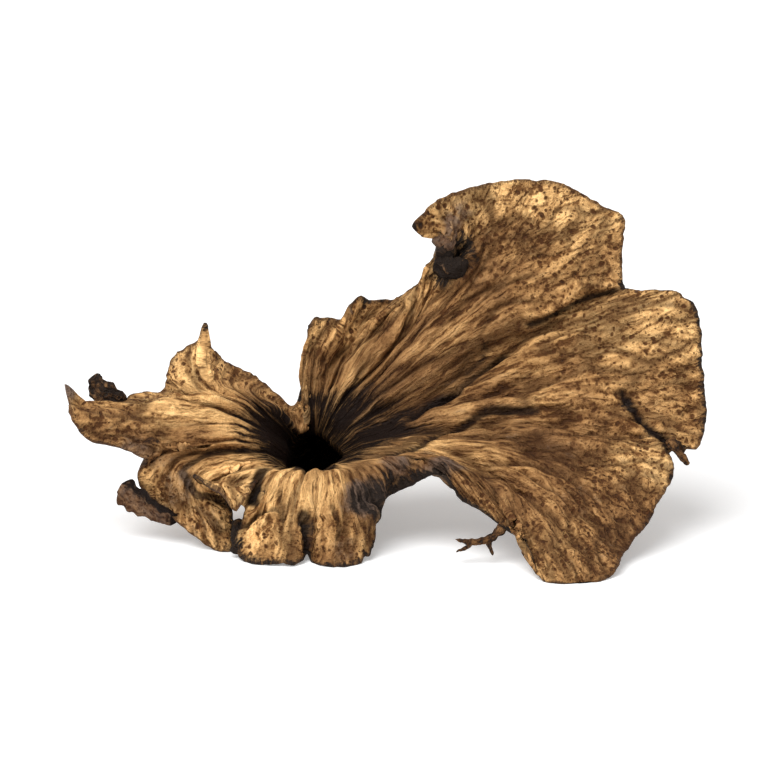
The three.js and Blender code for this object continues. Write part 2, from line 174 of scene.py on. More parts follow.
# Soft pushes on the sheet: level and bearing of the middle, reach down and up in levels and round in degrees,
# and the move there.
BENDS = (
    (1.74, 59.6, 0.3, 0.2, 3.0, (4.0, 1.2, 0)),
    (1.85, 59.6, 0.14, 0.1, 2.5, (1.0, 0.5, 1.1)),
    (2, 308.5, 0.09, 0.2, 1.2, (-1.0, 0, 2.7)),
)

# ---------------------------------------------------------------- places of hollows, stains, painted shade and painted highlight

# Hollows: level, bearing, radius, depth and height of the lip round it.
HOLLOWS = (
    (1.38, 65, 2.3, 0.8, 0.3),
)

# Narrow slits: (level, bearing) along each, half width, depth and the darkness of the painted shade laid in
# and round it.
GROOVES = (
    (((0.22, 106.5), (0.32, 103.4), (0.42, 102.4), (0.54, 102)), 0.8, 1.2, 1.0),
    (((0.5, 101.5), (0.65, 99.5), (0.9, 97.2)), 0.4, 0.5, 0.8),
    (((1.2, 91.7), (1.46, 90.5), (1.68, 89.9), (1.94, 90.1)), 0.35, 0.6, 0.9),
    (((1.5, 112.4), (1.56, 115.2), (1.66, 118.8), (1.8, 120.8), (2, 123.4)), 0.5, 0.9, 1.0),
    (
        ((0, 160), (0.16, 140), (0.34, 125), (0.48, 119.8), (0.62, 115), (0.72, 113.5), (0.96, 115)),
        0.5, 0.6, 0.9,
    ),
    (((0, 145), (0.12, 133), (0.26, 123), (0.36, 119)), 0.7, 0.15, 0.6),
    (((0.98, 210), (1.2, 209)), 0.75, 0.8, 0.9),
    (((1.1, 209.5), (1.46, 208.5), (2, 207.5)), 0.5, 1.0, 1.0),
    (((1.9, 231), (1.4, 230), (1.02, 228.5), (0.92, 220)), 0.3, 0.4, 0.7),
    (((0.5, 222), (0.85, 219), (1.1, 217)), 0.25, 0.35, 0.5),
    (((0.8, 200), (1.2, 198), (1.45, 199)), 0.25, 0.35, 0.6),
    (((0.94, 272), (0.72, 272.5), (0.46, 278), (0.16, 281), (-0.04, 279.5)), 0.35, 0.45, 0.8),
    (((1.0, 268), (1.3, 266), (1.7, 262)), 0.4, 0.3, 0.35),
    (((1.04, 271.5), (1.2, 263), (1.4, 259.5), (1.8, 259)), 0.5, 0.3, 0.85),
    (((-0.2, 246), (0.3, 238), (0.7, 233.5)), 0.6, 0.5, 0.95),
    (((0.66, 97), (0.8, 95), (0.86, 92)), 0.3, 0.4, 0.7),
    (((1.1, 188.5), (1.4, 184.5), (1.7, 182.5)), 0.35, 0.6, 0.8),
)

# Rolled edges and flaps: (level, bearing) along each, half width and height.
ROLLS = (
    (((1.82, 64.6), (1.72, 64), (1.62, 63)), 0.9, 0.6),
    (((1.5, 69.5), (1.38, 69), (1.3, 67.5)), 0.6, 0.5),
    (((1.3, 90.7), (1.56, 89), (1.7, 88.5), (1.94, 89.6)), 0.6, 0.9),
    (((0.7, 188), (1.18, 186.8), (1.6, 185.5)), 0.9, 0.9),
    (((0.9, 178), (1.4, 178.8), (1.8, 179.5)), 0.9, 0.8),
    (((0.3, 143), (0.7, 155), (1.1, 163)), 0.8, 0.5),
    (((1.3, 290.5), (1.7, 290.5), (2, 291)), 0.8, 0.25),
    (((0.4, 172), (0.9, 166), (1.2, 158)), 0.8, 0.4),
    (((1.62, 118.8), (1.78, 121), (1.95, 124.5)), 0.5, 0.4),
)

# Nicks torn into the margin: bearing, half width and depth, which is below 0 for a tongue.
TORN_NICKS = (
    (207.5, 0.6, 1.7), (99.0, 0.5, 0.3), (70.5, 0.5, 0.4), (228, 0.5, 0.5), (214, 0.25, 0.4),
    (199, 0.2, 0.3), (191.5, 0.35, 0.6), (187, 0.6, -0.5), (246, 1.1, -0.5), (151.5, 2.0, 0.8),
    (232, 1.2, 0.4),
)

# Painted shade in the throat by bearing: level up to which it is full, and levels over which it fades.
THROAT_SHADE = (
    (0, 0.1, 0.4), (30, 0.1, 0.45), (60, 0.05, 0.47), (90, -0.05, 0.55), (108, 0.05, 0.57),
    (115, 0.12, 0.52), (120, 0.1, 0.45), (125, 0.05, 0.35), (140, -0.1, 0.26), (160, -0.3, 0.25),
    (184, -0.35, 0.2), (215, -0.35, 0.2), (245, -0.3, 0.3), (270, -0.1, 0.3),
    (300, -0.1, 0.5), (318, -0.2, 0.7), (330, -0.2, 0.8), (350, 0.1, 0.9),
)

# Soft round patches, each by level, bearing, radius in millimetres and strength: blackened, partly the
# flesh's own blue-black and partly painted shade in the hollow, clefts and undersides; knobbly; thinned;
# and greyed, partly grey bloom and partly painted highlight on dark curls.
BLACK_AND_SHADE_PATCHES = (
    (1.42, 66, 3.0, 1.0), (1.6, 61.5, 2.2, 0.95), (1.25, 65.5, 2.4, 0.9), (1.55, 57, 1.2, 0.7),
    (1.18, 187.5, 2.3, 0.75), (1.3, 290.5, 1.8, 0.45), (1.66, 120.3, 0.9, 0.55), (1.4, 181, 2.4, 0.8),
    (1.9, 182, 2.2, 0.9), (1.6, 176, 2.2, 0.8), (2, 334, 1.0, 0.7), (2, 41, 1.0, 0.7),
    (2, 222, 1.6, 0.9), (2, 229, 1.4, 0.9), (2, 308.5, 1.4, 0.5), (2, 59.8, 0.9, 0.45),
    (2, 262, 1.8, 0.7), (0.5, 234, 1.3, 0.6), (2, 207.5, 1.2, 0.9), (1.2, 209, 1.3, 0.8),
    (1.54, 114.5, 1.0, 0.7), (1.0, 160, 1.8, 0.5), (1.2, 170, 1.8, 0.6),
)
KNOBBLY = (
    (1.4, 222, 4.5, 1.0), (1.4, 200, 4.5, 1.0), (1.5, 268, 4.0, 0.6), (1.4, 246, 3.0, 0.5),
    (1.3, 210, 3.0, 1.0), (1.6, 290, 3.0, 0.4),
)
THINNED = ((1.85, 124.5, 2.0, 0.7), (1.45, 59.5, 2.5, 0.85), (1.7, 57, 2.5, 0.8))
GREY_AND_HIGHLIGHT_PATCHES = (
    (1.82, 64.6, 1.6, 0.7), (1.72, 63.8, 1.8, 0.8), (1.62, 62, 1.6, 0.8), (1.5, 69.4, 0.9, 0.4),
    (1.5, 135, 3.0, 0.3), (0.3, 143, 1.4, 0.6), (0.7, 152, 1.6, 0.7), (1.1, 163, 2.2, 0.9),
    (0.8, 172, 2.0, 0.7), (1.3, 183, 2.2, 0.8), (1.1, 188, 2.6, 1.0), (1.7, 196, 2.0, 0.4),
    (1.6, 266, 2.4, 0.4), (1.3, 271, 3.0, 0.5), (1.3, 283, 2.4, 0.4), (1.6, 290.5, 2.8, 0.5),
    (2, 308.5, 2.4, 0.9),
)

# Darkened stretches of the margin, partly its own dark edge and partly painted shade under rolled and
# bottom edges: first and last bearing, width in millimetres and strength.
DARK_AND_SHADED_EDGES = (
    (4, 33, 1.0, 0.6), (36, 50, 0.8, 0.5), (52, 58, 1.6, 0.9), (88, 92, 1.2, 0.8), (99, 120, 0.7, 0.7),
    (122, 134, 0.5, 0.5), (139, 149, 0.8, 0.6), (149, 160, 1.3, 0.9), (157, 183, 2.2, 1.0),
    (183, 234, 0.9, 0.7), (250, 262, 1.0, 0.7), (256, 264, 1.4, 0.9), (284, 300, 0.9, 0.5),
)

# Lightness of the flesh with broad painted light and shade laid in: level, bearing and tone from 0 dark
# brown to 1 light tan.
TONE_AND_SHADING_SPOTS = (
    (1.9, 66, 1.15), (1.85, 72, 1.15), (1.85, 80, 1.05), (1.5, 72, 0.42), (1.55, 79, 0.42), (1.75, 87, 0.6),
    (1.3, 83, 0.32), (1.15, 75, 0.2), (1.0, 84, 0.25), (0.8, 70, 0.3), (0.6, 84, 0.3), (0.9, 56, 0.35),
    (0.35, 75, 0.12), (0.05, 116, 0.1), (0.3, 112, 0.15), (1.45, 42, 1.0), (0.6, 45, 0.35),
    (1.3, 28, 0.9), (0.8, 30, 0.4), (1.6, 53, 0.85),
    (1.8, 97, 1.0), (1.95, 101, 1.15), (1.9, 108, 1.0), (1.9, 114, 0.75), (1.6, 105, 0.85), (1.6, 112, 0.35),
    (1.4, 98, 0.9), (1.3, 108, 0.5), (1.3, 115, 0.28), (1.1, 102, 0.55), (1.0, 111, 0.45), (0.7, 98, 0.35),
    (1.1, 126, 0.0), (1.3, 131, 0.05), (1.2, 121, 0.1), (1.45, 125, 0.12), (1.8, 123, 0.6),
    (1.9, 126.5, 1.3), (1.8, 128, 1.1), (1.8, 125, 1.0), (1.1, 138, 0.3), (1.45, 133, 0.12),
    (1.75, 130, 0.18),
    (1.55, 141, 0.4), (1.75, 136, 0.22), (1.9, 141, 0.4), (1.75, 145, 0.5), (0.7, 130, 0.5), (0.3, 138, 0.8),
    (1.8, 305, 0.6), (1.5, 302, 0.45), (1.2, 296, 0.4), (1.2, 318, 1.25), (0.5, 325, 0.7), (0.5, 290, 0.3),
    (1.4, 325, 1.25), (1.8, 331, 1.0), (1.42, 353, 0.3), (0.6, 345, 0.15), (1.6, 348, 0.4),
    (0.9, 283, 0.5), (0.8, 215, 1.0), (1.4, 217, 1.3), (1.3, 200, 0.85), (1.6, 209, 0.3),
    (1.85, 215, 0.7), (1.8, 198, 0.15), (1.5, 192, 0.3), (1.9, 190, 0.9), (0.3, 200, 0.9), (0.3, 230, 0.9),
    (1.65, 120.3, 0.1), (0.5, 180, 0.35), (0.9, 168, 0.1),
    (1.3, 266, 0.7), (1.7, 264, 0.75), (1.7, 271, 0.8), (1.8, 278, 0.9), (1.0, 248, 1.2), (1.6, 246, 1.2),
)

# Narrow curled shreds of the margin: spine points, full widths, thickness, side they face and edge curl.
SHREDS = (
    (
        "low_shred",
        ((-14.4, -5.9, 2.9), (-16.3, -5.9, 3.5), (-18.2, -4.9, 4.2), (-20.0, -4.1, 5.1), (-21.4, -3.6, 6.2)),
        (1.3, 2.4, 3.2, 3.6, 3.0), 0.7, (0.2, -0.9, -0.35), 0.4,
    ),
    (
        "wing_shred",
        ((-20.7, 2.4, 14.8), (-22.2, 2.1, 15.1), (-23.5, 2.2, 15.7), (-24.1, 2.5, 16.6), (-24.3, 2.7, 17.7)),
        (1.0, 2.2, 2.9, 2.1, 1.0), 0.8, (0, -1, 0.2), 0.2,
    ),
    (
        "twig_shred",
        ((23.0, -13.4, 5.2), (21.8, -13.4, 3.6), (20.4, -13.5, 2.7), (18.6, -13.6, 2.5), (16.9, -13.8, 2.9)),
        (1.6, 1.0, 0.9, 0.7, 0.4), 0.6, (0, -1, 0.2), 0.1,
    ),
    (
        "twig_fork",
        ((18.9, -13.6, 2.5), (18.0, -13.8, 1.8), (17.0, -14.0, 1.4)),
        (0.6, 0.5, 0.3), 0.45, (0, -1, 0.2), 0.0,
    ),
    (
        "twig_spur",
        ((20.6, -13.5, 2.7), (20.9, -13.7, 1.8), (21.2, -13.9, 1.0)),
        (0.7, 0.5, 0.3), 0.45, (0, -1, 0.2), 0.0,
    ),
    # A dark strip that stands in the gap between the low and front lobes as painted shade.
    (
        "shade_web",
        ((-7.9, -8.0, 3.6), (-7.9, -10.0, 2.0), (-7.7, -11.8, 0.5)),
        (1.0, 1.4, 2.0), 0.7, (0, -1, 0.3), 0.1,
    ),
    (
        "hollow_flap",
        ((16.6, 10.9, 34.4), (16.2, 10.3, 32.9), (15.8, 9.9, 31.5), (15.5, 9.9, 30.4)),
        (1.2, 2.2, 2.6, 2.0), 0.7, (0, -1, 0.1), -0.3,
    ),
    (
        "hollow_knob",
        ((14.9, 10.0, 29.6), (15.8, 9.4, 28.6), (17.1, 9.2, 28.4), (18.5, 9.8, 29.3)),
        (1.5, 2.9, 2.6, 1.5), 1.3, (0, -1, 0.2), -0.4,
    ),
    (
        "tail_shred",
        ((41.4, -2.8, 11.6), (42.2, -3.2, 10.5), (43.1, -3.4, 9.4), (43.7, -3.5, 8.6)),
        (1.6, 1.0, 0.8, 0.5), 0.6, (0, -1, 0.1), 0.1,
    ),
)

# How blackened and how grey each shred is (the black partly painted shade, the grey partly painted
# highlight), and how much painted shade darkens its upper edge and its first end.
SHRED_MARKS_AND_SHADE = {
    "low_shred": (0.1, 0.7, 0.9, 0.8),
    "wing_shred": (0.75, 0.4, 0, 0.4),
    "twig_shred": (0.5, 0.3, 0, 0),
    "twig_fork": (0.6, 0.3, 0, 0),
    "twig_spur": (0.6, 0.3, 0, 0),
    "shade_web": (0.9, 0.2, 0, 0),
    "hollow_flap": (0.15, 0.8, 0, 0),
    "hollow_knob": (1.1, 0.35, 0.2, 0.2),
    "tail_shred": (0.5, 0.3, 0, 0),
}

# ---------------------------------------------------------------- curves and sheet

CHORD_POWER = 0.75  # how strongly long spans slow the curve that runs down a column


def unit(vectors):
    """Each vector at length 1."""
    return vectors / (np.linalg.norm(vectors, axis=-1, keepdims=True) + 1e-9)


def hermite(a, slope_a, b, slope_b, s):
    """Cubic from a to b with the given slopes, at s from 0 to 1."""
    return (
        a * (2 * s**3 - 3 * s**2 + 1)
        + slope_a * (s**3 - 2 * s**2 + s)
        + b * (3 * s**2 - 2 * s**3)
        + slope_b * (s**3 - s**2)
    )


def closed_curve(knots, points, at):
    """Smooth closed curve through points at knot bearings in degrees, read at the bearings in at."""
    knot = np.asarray(knots, float)
    point = np.asarray(points, float)
    knot = np.concatenate([knot[-2:] - 360, knot, knot[:2] + 360])
    point = np.concatenate([point[-2:], point, point[:2]])
    i = np.clip(np.searchsorted(knot, at, side="right") - 1, 1, len(knot) - 3)

    def slope(j):
        before = (point[j] - point[j - 1]) / (knot[j] - knot[j - 1])[:, None]
        after = (point[j + 1] - point[j]) / (knot[j + 1] - knot[j])[:, None]
        share = ((knot[j + 1] - knot[j]) / (knot[j + 1] - knot[j - 1]))[:, None]
        return before * share + after * (1 - share)

    gap = (knot[i + 1] - knot[i])[:, None]
    s = (at - knot[i])[:, None] / gap
    return hermite(point[i], slope(i) * gap, point[i + 1], slope(i + 1) * gap, s)


def spline(points, at):
    """Catmull-Rom curve through points, read at shares from 0 to 1 of its count of spans."""
    point = np.asarray(points, float)
    if point.ndim == 1:
        point = point[:, None]
    spans = len(point) - 1
    slope = np.gradient(point, axis=0)
    place = np.clip(at * spans, 0, spans - 1e-9)
    i = place.astype(int)
    return hermite(point[i], slope[i], point[i + 1], slope[i + 1], (place - i)[:, None])


def stem_ring(centre, radius, direction, bearings):
    """Points of one stem ring, drawn in by the stem's furrows."""
    axis = np.array(direction) / np.linalg.norm(direction)
    right = np.array([1.0, 0.0, 0.0]) - axis * axis[0]
    right /= np.linalg.norm(right)
    up = np.cross(axis, right)
    turn = np.radians(SIDE_BEARING - bearings)[:, None]
    furrowed = 1 + sum(share * np.cos(n * turn + phase) for n, share, phase in FURROWS)
    return np.array(centre) + radius * furrowed * (np.cos(turn) * right + np.sin(turn) * up)


def margin_points(bearings):
    """The margin at the given bearings."""
    return closed_curve([m[0] for m in MARGIN], [m[1] for m in MARGIN], bearings)


def middle_points(bearings):
    """The middle of the sheet at the given bearings."""
    return closed_curve([f[0] for f in FUNNEL], [f[2] for f in FUNNEL], bearings)


def bend_moves(bearings, levels):
    """Moves of each point of the sheet by the soft pushes."""
    moves = np.zeros((len(levels), len(bearings), 3))
    for level, bearing, reach_down, reach_up, bearing_reach, move in BENDS:
        level_reach = np.where(levels < level, reach_down, reach_up)
        down = np.exp(-(((levels - level) / level_reach) ** 2))
        around = np.exp(-(((bearings - bearing) / bearing_reach) ** 2))
        moves += (down[:, None] * around)[..., None] * np.array(move)
    return moves


def plain_sheet(bearings, levels):
    """Middle of the flesh. Level -6 is the stem's base, 0 the throat's crest, 1 mid sheet, 2 the margin."""
    crest = closed_curve([f[0] for f in FUNNEL], [f[1] for f in FUNNEL], bearings)
    rings = [stem_ring(c, r, d, bearings) for c, r, d in reversed(STEM)]
    control = np.array(rings + [crest, middle_points(bearings), margin_points(bearings)])
    gap = np.linalg.norm(np.diff(control, axis=0), axis=2)[..., None] ** CHORD_POWER
    slope = np.empty_like(control)
    slope[0] = (control[1] - control[0]) / gap[0]
    slope[-1] = (control[-1] - control[-2]) / gap[-1]
    share = gap[1:] / (gap[1:] + gap[:-1])
    slope[1:-1] = (
        (control[1:-1] - control[:-2]) / gap[:-1] * share
        + (control[2:] - control[1:-1]) / gap[1:] * (1 - share)
    )
    rows = []
    for level in levels:
        at = level + len(STEM)
        i = min(int(at), len(control) - 2)
        rows.append(hermite(control[i], slope[i] * gap[i], control[i + 1], slope[i + 1] * gap[i], at - i))
    return np.array(rows) + bend_moves(bearings, np.asarray(levels))


def sheet_normals(rows):
    """Unit normals of the sheet, out of its inner side."""
    around = np.roll(rows, -1, 1) - np.roll(rows, 1, 1)
    up = np.gradient(rows, axis=0)
    return unit(np.cross(around, up))


def row_arcs(rows):
    """Distance along each row from its first point, with the whole round at the end."""
    step = np.linalg.norm(np.roll(rows, -1, 1) - rows, axis=2)
    return np.concatenate([np.zeros((len(rows), 1)), np.cumsum(step, axis=1)], axis=1)


def crease_depths(rows, bearings, levels):
    """How deep the valley folds press each point."""
    arcs = row_arcs(rows)
    whole = np.concatenate([bearings, [360.0]])
    depth = np.zeros(rows.shape[:2])
    for path, width, deep in CREASES:
        path_levels, path_bearings = zip(*path)
        for r, level in enumerate(levels):
            run_in = (level - path_levels[0]) / CREASE_RUN_IN + 0.5
            run_out = (path_levels[-1] + CREASE_RUN_OUT - level) / CREASE_RUN_OUT
            strength = deep * min(max(min(run_in, run_out), 0), 1)
            if strength == 0:
                continue
            at = np.interp(np.interp(level, path_levels, path_bearings), whole, arcs[r])
            away = np.abs(arcs[r][:-1] - at)
            away = np.minimum(away, arcs[r][-1] - away)
            depth[r] += strength * np.exp(-((away / width) ** 2))
    return depth


# ---------------------------------------------------------------- relief

NOISE_GAIN = 1.7  # brings the noise up to about -1 to 1
NOISE_SLOPE = 1.6  # how steeply it crosses zero, which turns its value into a distance
SEED_STRIDE = 57  # how far apart in the lattice two seeds start
rng = np.random.default_rng(41)
LATTICE_GRADIENTS = rng.normal(size=(256, 3))
LATTICE_GRADIENTS /= np.linalg.norm(LATTICE_GRADIENTS, axis=1, keepdims=True)
LATTICE_SHUFFLE = rng.permutation(256)


def noise3(points, seed=0):
    """Smooth gradient noise of about -1 to 1 with one bump a unit. Each effect has a seed of its own."""
    cell = np.floor(points).astype(np.int64)
    within = points - cell
    fade = within**3 * (within * (within * 6 - 15) + 10)
    total = np.zeros(points.shape[:-1])
    for corner in itertools.product((0, 1), repeat=3):
        at = cell + np.array(corner) + seed * SEED_STRIDE
        pick = LATTICE_SHUFFLE[at[..., 0] & 255]
        pick = LATTICE_SHUFFLE[(pick + at[..., 1]) & 255]
        pick = LATTICE_SHUFFLE[(pick + at[..., 2]) & 255]
        weight = np.prod(np.where(np.array(corner) == 1, fade, 1 - fade), axis=-1)
        total += weight * np.sum(LATTICE_GRADIENTS[pick] * (within - np.array(corner)), axis=-1)
    return total * NOISE_GAIN


def layered(points, layers):
    """Sum of noises, each by its height in millimetres, its bumps a millimetre and its seed."""
    return sum(height * noise3(points * np.array(bumps), seed) for height, bumps, seed in layers)


def smooth_step(low, high, x):
    """0 up to low, 1 from high on, and a soft rise between."""
    share = np.clip((x - low) / (high - low), 0, 1)
    return share * share * (3 - 2 * share)


INNER_COLUMNS = 1000  # the outer side has half as many
FINE_BEARINGS = 14401  # steps along which the margin is measured
MARGIN_SHARE = 0.75  # how much the columns' spacing heeds the margin, and the rest the mid sheet
INNER_LEVELS = np.concatenate([np.linspace(-4.2, 0, 9)[:-1], np.linspace(0, 2, 58)])
OUTER_LEVELS = np.concatenate([np.linspace(2, 0, 36), np.linspace(0, -6, 15)[1:]])

# Flesh: thicknesses, and the distance from the margin over which it thins.
CAP_FLESH = 1.1
EDGE_FLESH = 0.45
EDGE_THINNING = 4.0
STEM_FLESH = 1.5
LEAST_FLESH = 0.3
EDGE_RELIEF = 0.2  # share of the relief left at the margin
CALM_REACH = 2.2  # millimetres from the margin over which the relief comes in
SHORT_FLESH = (1.5, 7.0)  # lengths from throat to margin that carry no relief, and all of it
EDGE_ROUND = 0.15  # how far the margin's round edge stands out
GROUND_GAP = 0.03  # least height over the ground

INNER, OUTER = 1, -1
STEM_RELIEF = {INNER: 0.35, OUTER: 1.1}  # share of the furrows' depth left on the stem
FURROW_LAYOUT = {INNER: (11, 2.1, 1.4), OUTER: (31, 2.2, 0.5)}  # noise seed, spacing and depth
FURROW_SIZES = 6  # each half as wide as the one before
WIDEST_FURROW = 0.11  # bumps a millimetre across
LONGEST_FURROW = 0.035  # bumps a millimetre along
FURROW_SHORTENING = 1.55  # how much shorter each size runs than the one before
FURROW_WANDER = 0.45  # millimetres by which furrows wander sideways
LEAST_SPREAD = 0.12
NO_FURROW = 9.0  # distance where no furrow is near
RUN_PACKING = 140.0  # how soon the marks shorten toward the margin, in millimetres
LINE_SPOTS = 60  # places at which a drawn line is measured
LIP_PLACE = 1.15  # shares of a hollow's radius
LIP_WIDTH = 0.4
TONE_BLUR = 2.5  # millimetres over which a tone spot stays plain

# Uneven forms of the flesh, each a row of noises: height in millimetres, bumps a millimetre and seed.
RUFFLES = ((0.55, (0.16, 0.16, 0.035), 3), (0.35, (0.33, 0.33, 0.06), 5))  # bumps across, across and along
UNEVENNESS = ((0.22, 0.45, 23),)
KNOBS = ((0.5, 0.9, 26), (0.3, 2.0, 27))
BURLS = ((0.55, 0.8, 24), (0.4, 1.7, 25))
EDGE_NICKS = ((0.35, 0.2, 61), (0.18, 0.9, 62), (0.16, 2.2, 63))
EDGE_TEARS = ((1.0, 0.5, 64),)
EDGE_CURLS = ((0.8, 0.17, 65), (0.35, 0.5, 66))
TEAR_DEPTH = 0.6
NICK_REACH = 2.2  # millimetres from the margin over which nicks and tears fade
CURL_REACH = 3.0


def column_bearings():
    """Bearings that share the columns out by the margin's length, with some of the mid sheet's."""
    fine = np.linspace(0, 360, FINE_BEARINGS)
    step = (
        MARGIN_SHARE * np.linalg.norm(np.diff(margin_points(fine), axis=0), axis=1)
        + (1 - MARGIN_SHARE) * np.linalg.norm(np.diff(middle_points(fine), axis=0), axis=1)
    )
    run = np.concatenate([[0], np.cumsum(step)])
    return np.interp(np.arange(INNER_COLUMNS) * run[-1] / INNER_COLUMNS, run, fine)


def sheet_spot(level, bearing):
    """Point on the plain sheet at one level and bearing."""
    around = np.array([bearing - 0.5, bearing, bearing + 0.5])
    return plain_sheet(around, [level])[0][1]


def dents(rows, normals):
    """Moves that press the sheet in at each hollow and lift a lip round it."""
    move = np.zeros(rows.shape[:2])
    for level, bearing, radius, depth, lip in HOLLOWS:
        away = np.linalg.norm(rows - sheet_spot(level, bearing), axis=2) / radius
        move += lip * np.exp(-(((away - LIP_PLACE) / LIP_WIDTH) ** 2)) - depth * np.exp(-(away**3))
    return normals * move[..., None]


class Sheet:
    """The folded middle surface on levels by bearings, with the fields that relief and colour read."""

    def __init__(self, bearings, levels):
        self.levels = levels
        self.bearings = bearings
        rows = plain_sheet(bearings, levels)
        self.folds = crease_depths(rows, bearings, levels)
        normals = sheet_normals(rows)
        self.points = rows - normals * self.folds[..., None] + dents(rows, normals)
        mid_row = np.argmin(np.abs(levels - 1.0))
        crest_row = np.argmin(np.abs(levels))
        mid_arcs = row_arcs(self.points)[mid_row]
        turn = 2 * math.pi * mid_arcs[:-1] / mid_arcs[-1]
        radius = mid_arcs[-1] / (2 * math.pi)
        down = np.linalg.norm(np.diff(self.points, axis=0), axis=2)
        run = np.concatenate([np.zeros((1, len(bearings))), np.cumsum(down, axis=0)])
        run = run - run[crest_row]
        across = np.linalg.norm(np.roll(self.points, -1, 1) - np.roll(self.points, 1, 1), axis=2)
        shape = self.points.shape[:2]
        self.level_grid = np.broadcast_to(levels[:, None], shape)
        self.to_margin = run[-1] - run
        self.spread = across / across[mid_row]
        around = [np.broadcast_to(radius * f(turn), shape) for f in (np.cos, np.sin)]
        packed_run = run + np.maximum(run, 0) ** 2 / RUN_PACKING
        self.grain = np.stack(around + [packed_run], axis=-1)
        self.room = run[-1] - run[crest_row]

    def spot(self, level, bearing):
        """Point of the folded sheet at one level and bearing."""
        row = np.interp(level, self.levels, np.arange(len(self.levels)))
        column = np.interp(bearing, self.bearings, np.arange(len(self.bearings)))
        r = min(int(row), len(self.levels) - 2)
        c = min(int(column), len(self.bearings) - 2)
        pair = self.points[r : r + 2, c] * (c + 1 - column) + self.points[r : r + 2, c + 1] * (column - c)
        return pair[0] + (pair[1] - pair[0]) * (row - r)


def stretched(grain, across, along):
    """Grain coordinates scaled to bumps a millimetre across and along the flesh."""
    return grain * np.array([across, across, along])


def broad_folds(sheet):
    """Soft ruffles that bend the whole flesh, stronger toward the margin."""
    reach = smooth_step(-0.2, 1.2, sheet.level_grid)
    return layered(sheet.grain, RUFFLES) * reach


def furrow_distance(sheet, seed, spacing):
    """Distance in millimetres to the nearest lengthwise furrow. More furrows open as the sheet widens."""
    grain = sheet.grain.copy()
    warp = noise3(stretched(grain, 0.25, 0.16), seed + 7)
    grain[..., :2] += warp[..., None] * FURROW_WANDER
    spread = np.maximum(sheet.spread, LEAST_SPREAD)
    nearest = np.full(spread.shape, NO_FURROW)
    for octave in range(FURROW_SIZES):
        across = WIDEST_FURROW * 2**octave
        crowding = across * spacing / spread
        along = LONGEST_FURROW * FURROW_SHORTENING**octave
        crossing = np.abs(noise3(stretched(grain, across, along), seed + octave)) / NOISE_SLOPE
        patchy = np.maximum(noise3(stretched(grain, across * 0.6, along * 1.7), seed + 13 + octave), 0)
        bias = np.maximum(crowding - 1, 0) * 0.7 * spacing + patchy * 0.25 * spacing
        nearest = np.minimum(nearest, crossing * spread / across + bias)
    return nearest


def rounded_ridge(distance, width):
    """Height from 0 in a furrow to 1 on the crest, steep at the furrow and round on top."""
    return 1 - np.exp(-distance / width)


def nearness(sheet, path, width):
    """1 on a line drawn over the flesh, falling off smoothly to its sides."""
    line = spline([sheet.spot(level, bearing) for level, bearing in path], np.linspace(0, 1, LINE_SPOTS))
    near = np.min([np.linalg.norm(sheet.points - spot, axis=2) for spot in line], axis=0)
    return np.exp(-((near / width) ** 2))


def groove_moves(sheet):
    """How far the narrow slits cut in, and how much painted shade each lays on the flesh round it."""
    depth = np.zeros(sheet.points.shape[:2])
    shade = np.zeros(sheet.points.shape[:2])
    for path, width, deep, shade_strength in GROOVES:
        near = nearness(sheet, path, width)
        depth += deep * near
        shade = np.maximum(shade, shade_strength * smooth_step(0.05, 0.6, near))
    return depth, shade


def rolled_ridges(sheet):
    """Height of the rolled edges and folded flaps that stand up from the inner side."""
    return sum(height * nearness(sheet, path, width) for path, width, height in ROLLS)


def ragged_margin(sheet, points, normals):
    """Moves of the outermost flesh: small nicks and tongues along the edge and slight curls across it."""
    outward = unit(points[-1] - points[-3])
    arc = row_arcs(points)[-1]
    turn = 2 * math.pi * arc[:-1] / arc[-1]
    radius = arc[-1] / (2 * math.pi)
    ring = np.stack([radius * np.cos(turn), radius * np.sin(turn), np.zeros_like(turn)], axis=-1)
    torn = np.zeros_like(turn)
    for bearing, width, deep in TORN_NICKS:
        away = arc[:-1] - np.interp(bearing, sheet.bearings, arc[:-1])
        torn += deep * np.exp(-((away / width) ** 2))
    nicks = layered(ring, EDGE_NICKS)
    tears = -TEAR_DEPTH * smooth_step(0.5, 0.8, layered(ring, EDGE_TEARS))
    curls = layered(ring, EDGE_CURLS)
    near = 1 - smooth_step(0.0, NICK_REACH, sheet.to_margin)
    curl_reach = 1 - smooth_step(0.0, CURL_REACH, sheet.to_margin)
    span = smooth_step(1.0, 1.3, sheet.level_grid) * smooth_step(2.0, 6.0, sheet.room)
    slide = outward[None] * (((nicks + tears) * span - torn) * near)[..., None]
    curl = normals * (curls[None, :] * curl_reach**2 * span)[..., None]
    return slide + curl


def patch_mask(sheet, patches):
    """How far each point lies inside the soft round patches, from 0 to 1."""
    mask = np.zeros(sheet.points.shape[:2])
    for level, bearing, radius, strength in patches:
        away = np.linalg.norm(sheet.points - sheet.spot(level, bearing), axis=2) / radius
        mask = np.maximum(mask, strength * (1 - smooth_step(0.35, 1.25, away)))
    return mask


def dark_and_shaded_edges(sheet):
    """How dark the darkened stretches of the margin are, from 0 to 1: partly their own dark edge, partly
    painted shade.
    """
    mask = np.zeros(sheet.points.shape[:2])
    for first, last, width, strength in DARK_AND_SHADED_EDGES:
        begun = smooth_step(first - 2, first + 2, sheet.bearings)
        ended = smooth_step(last - 2, last + 2, sheet.bearings)
        near = 1 - smooth_step(0.2 * width, width, sheet.to_margin)
        mask = np.maximum(mask, strength * begun * (1 - ended) * near)
    return mask


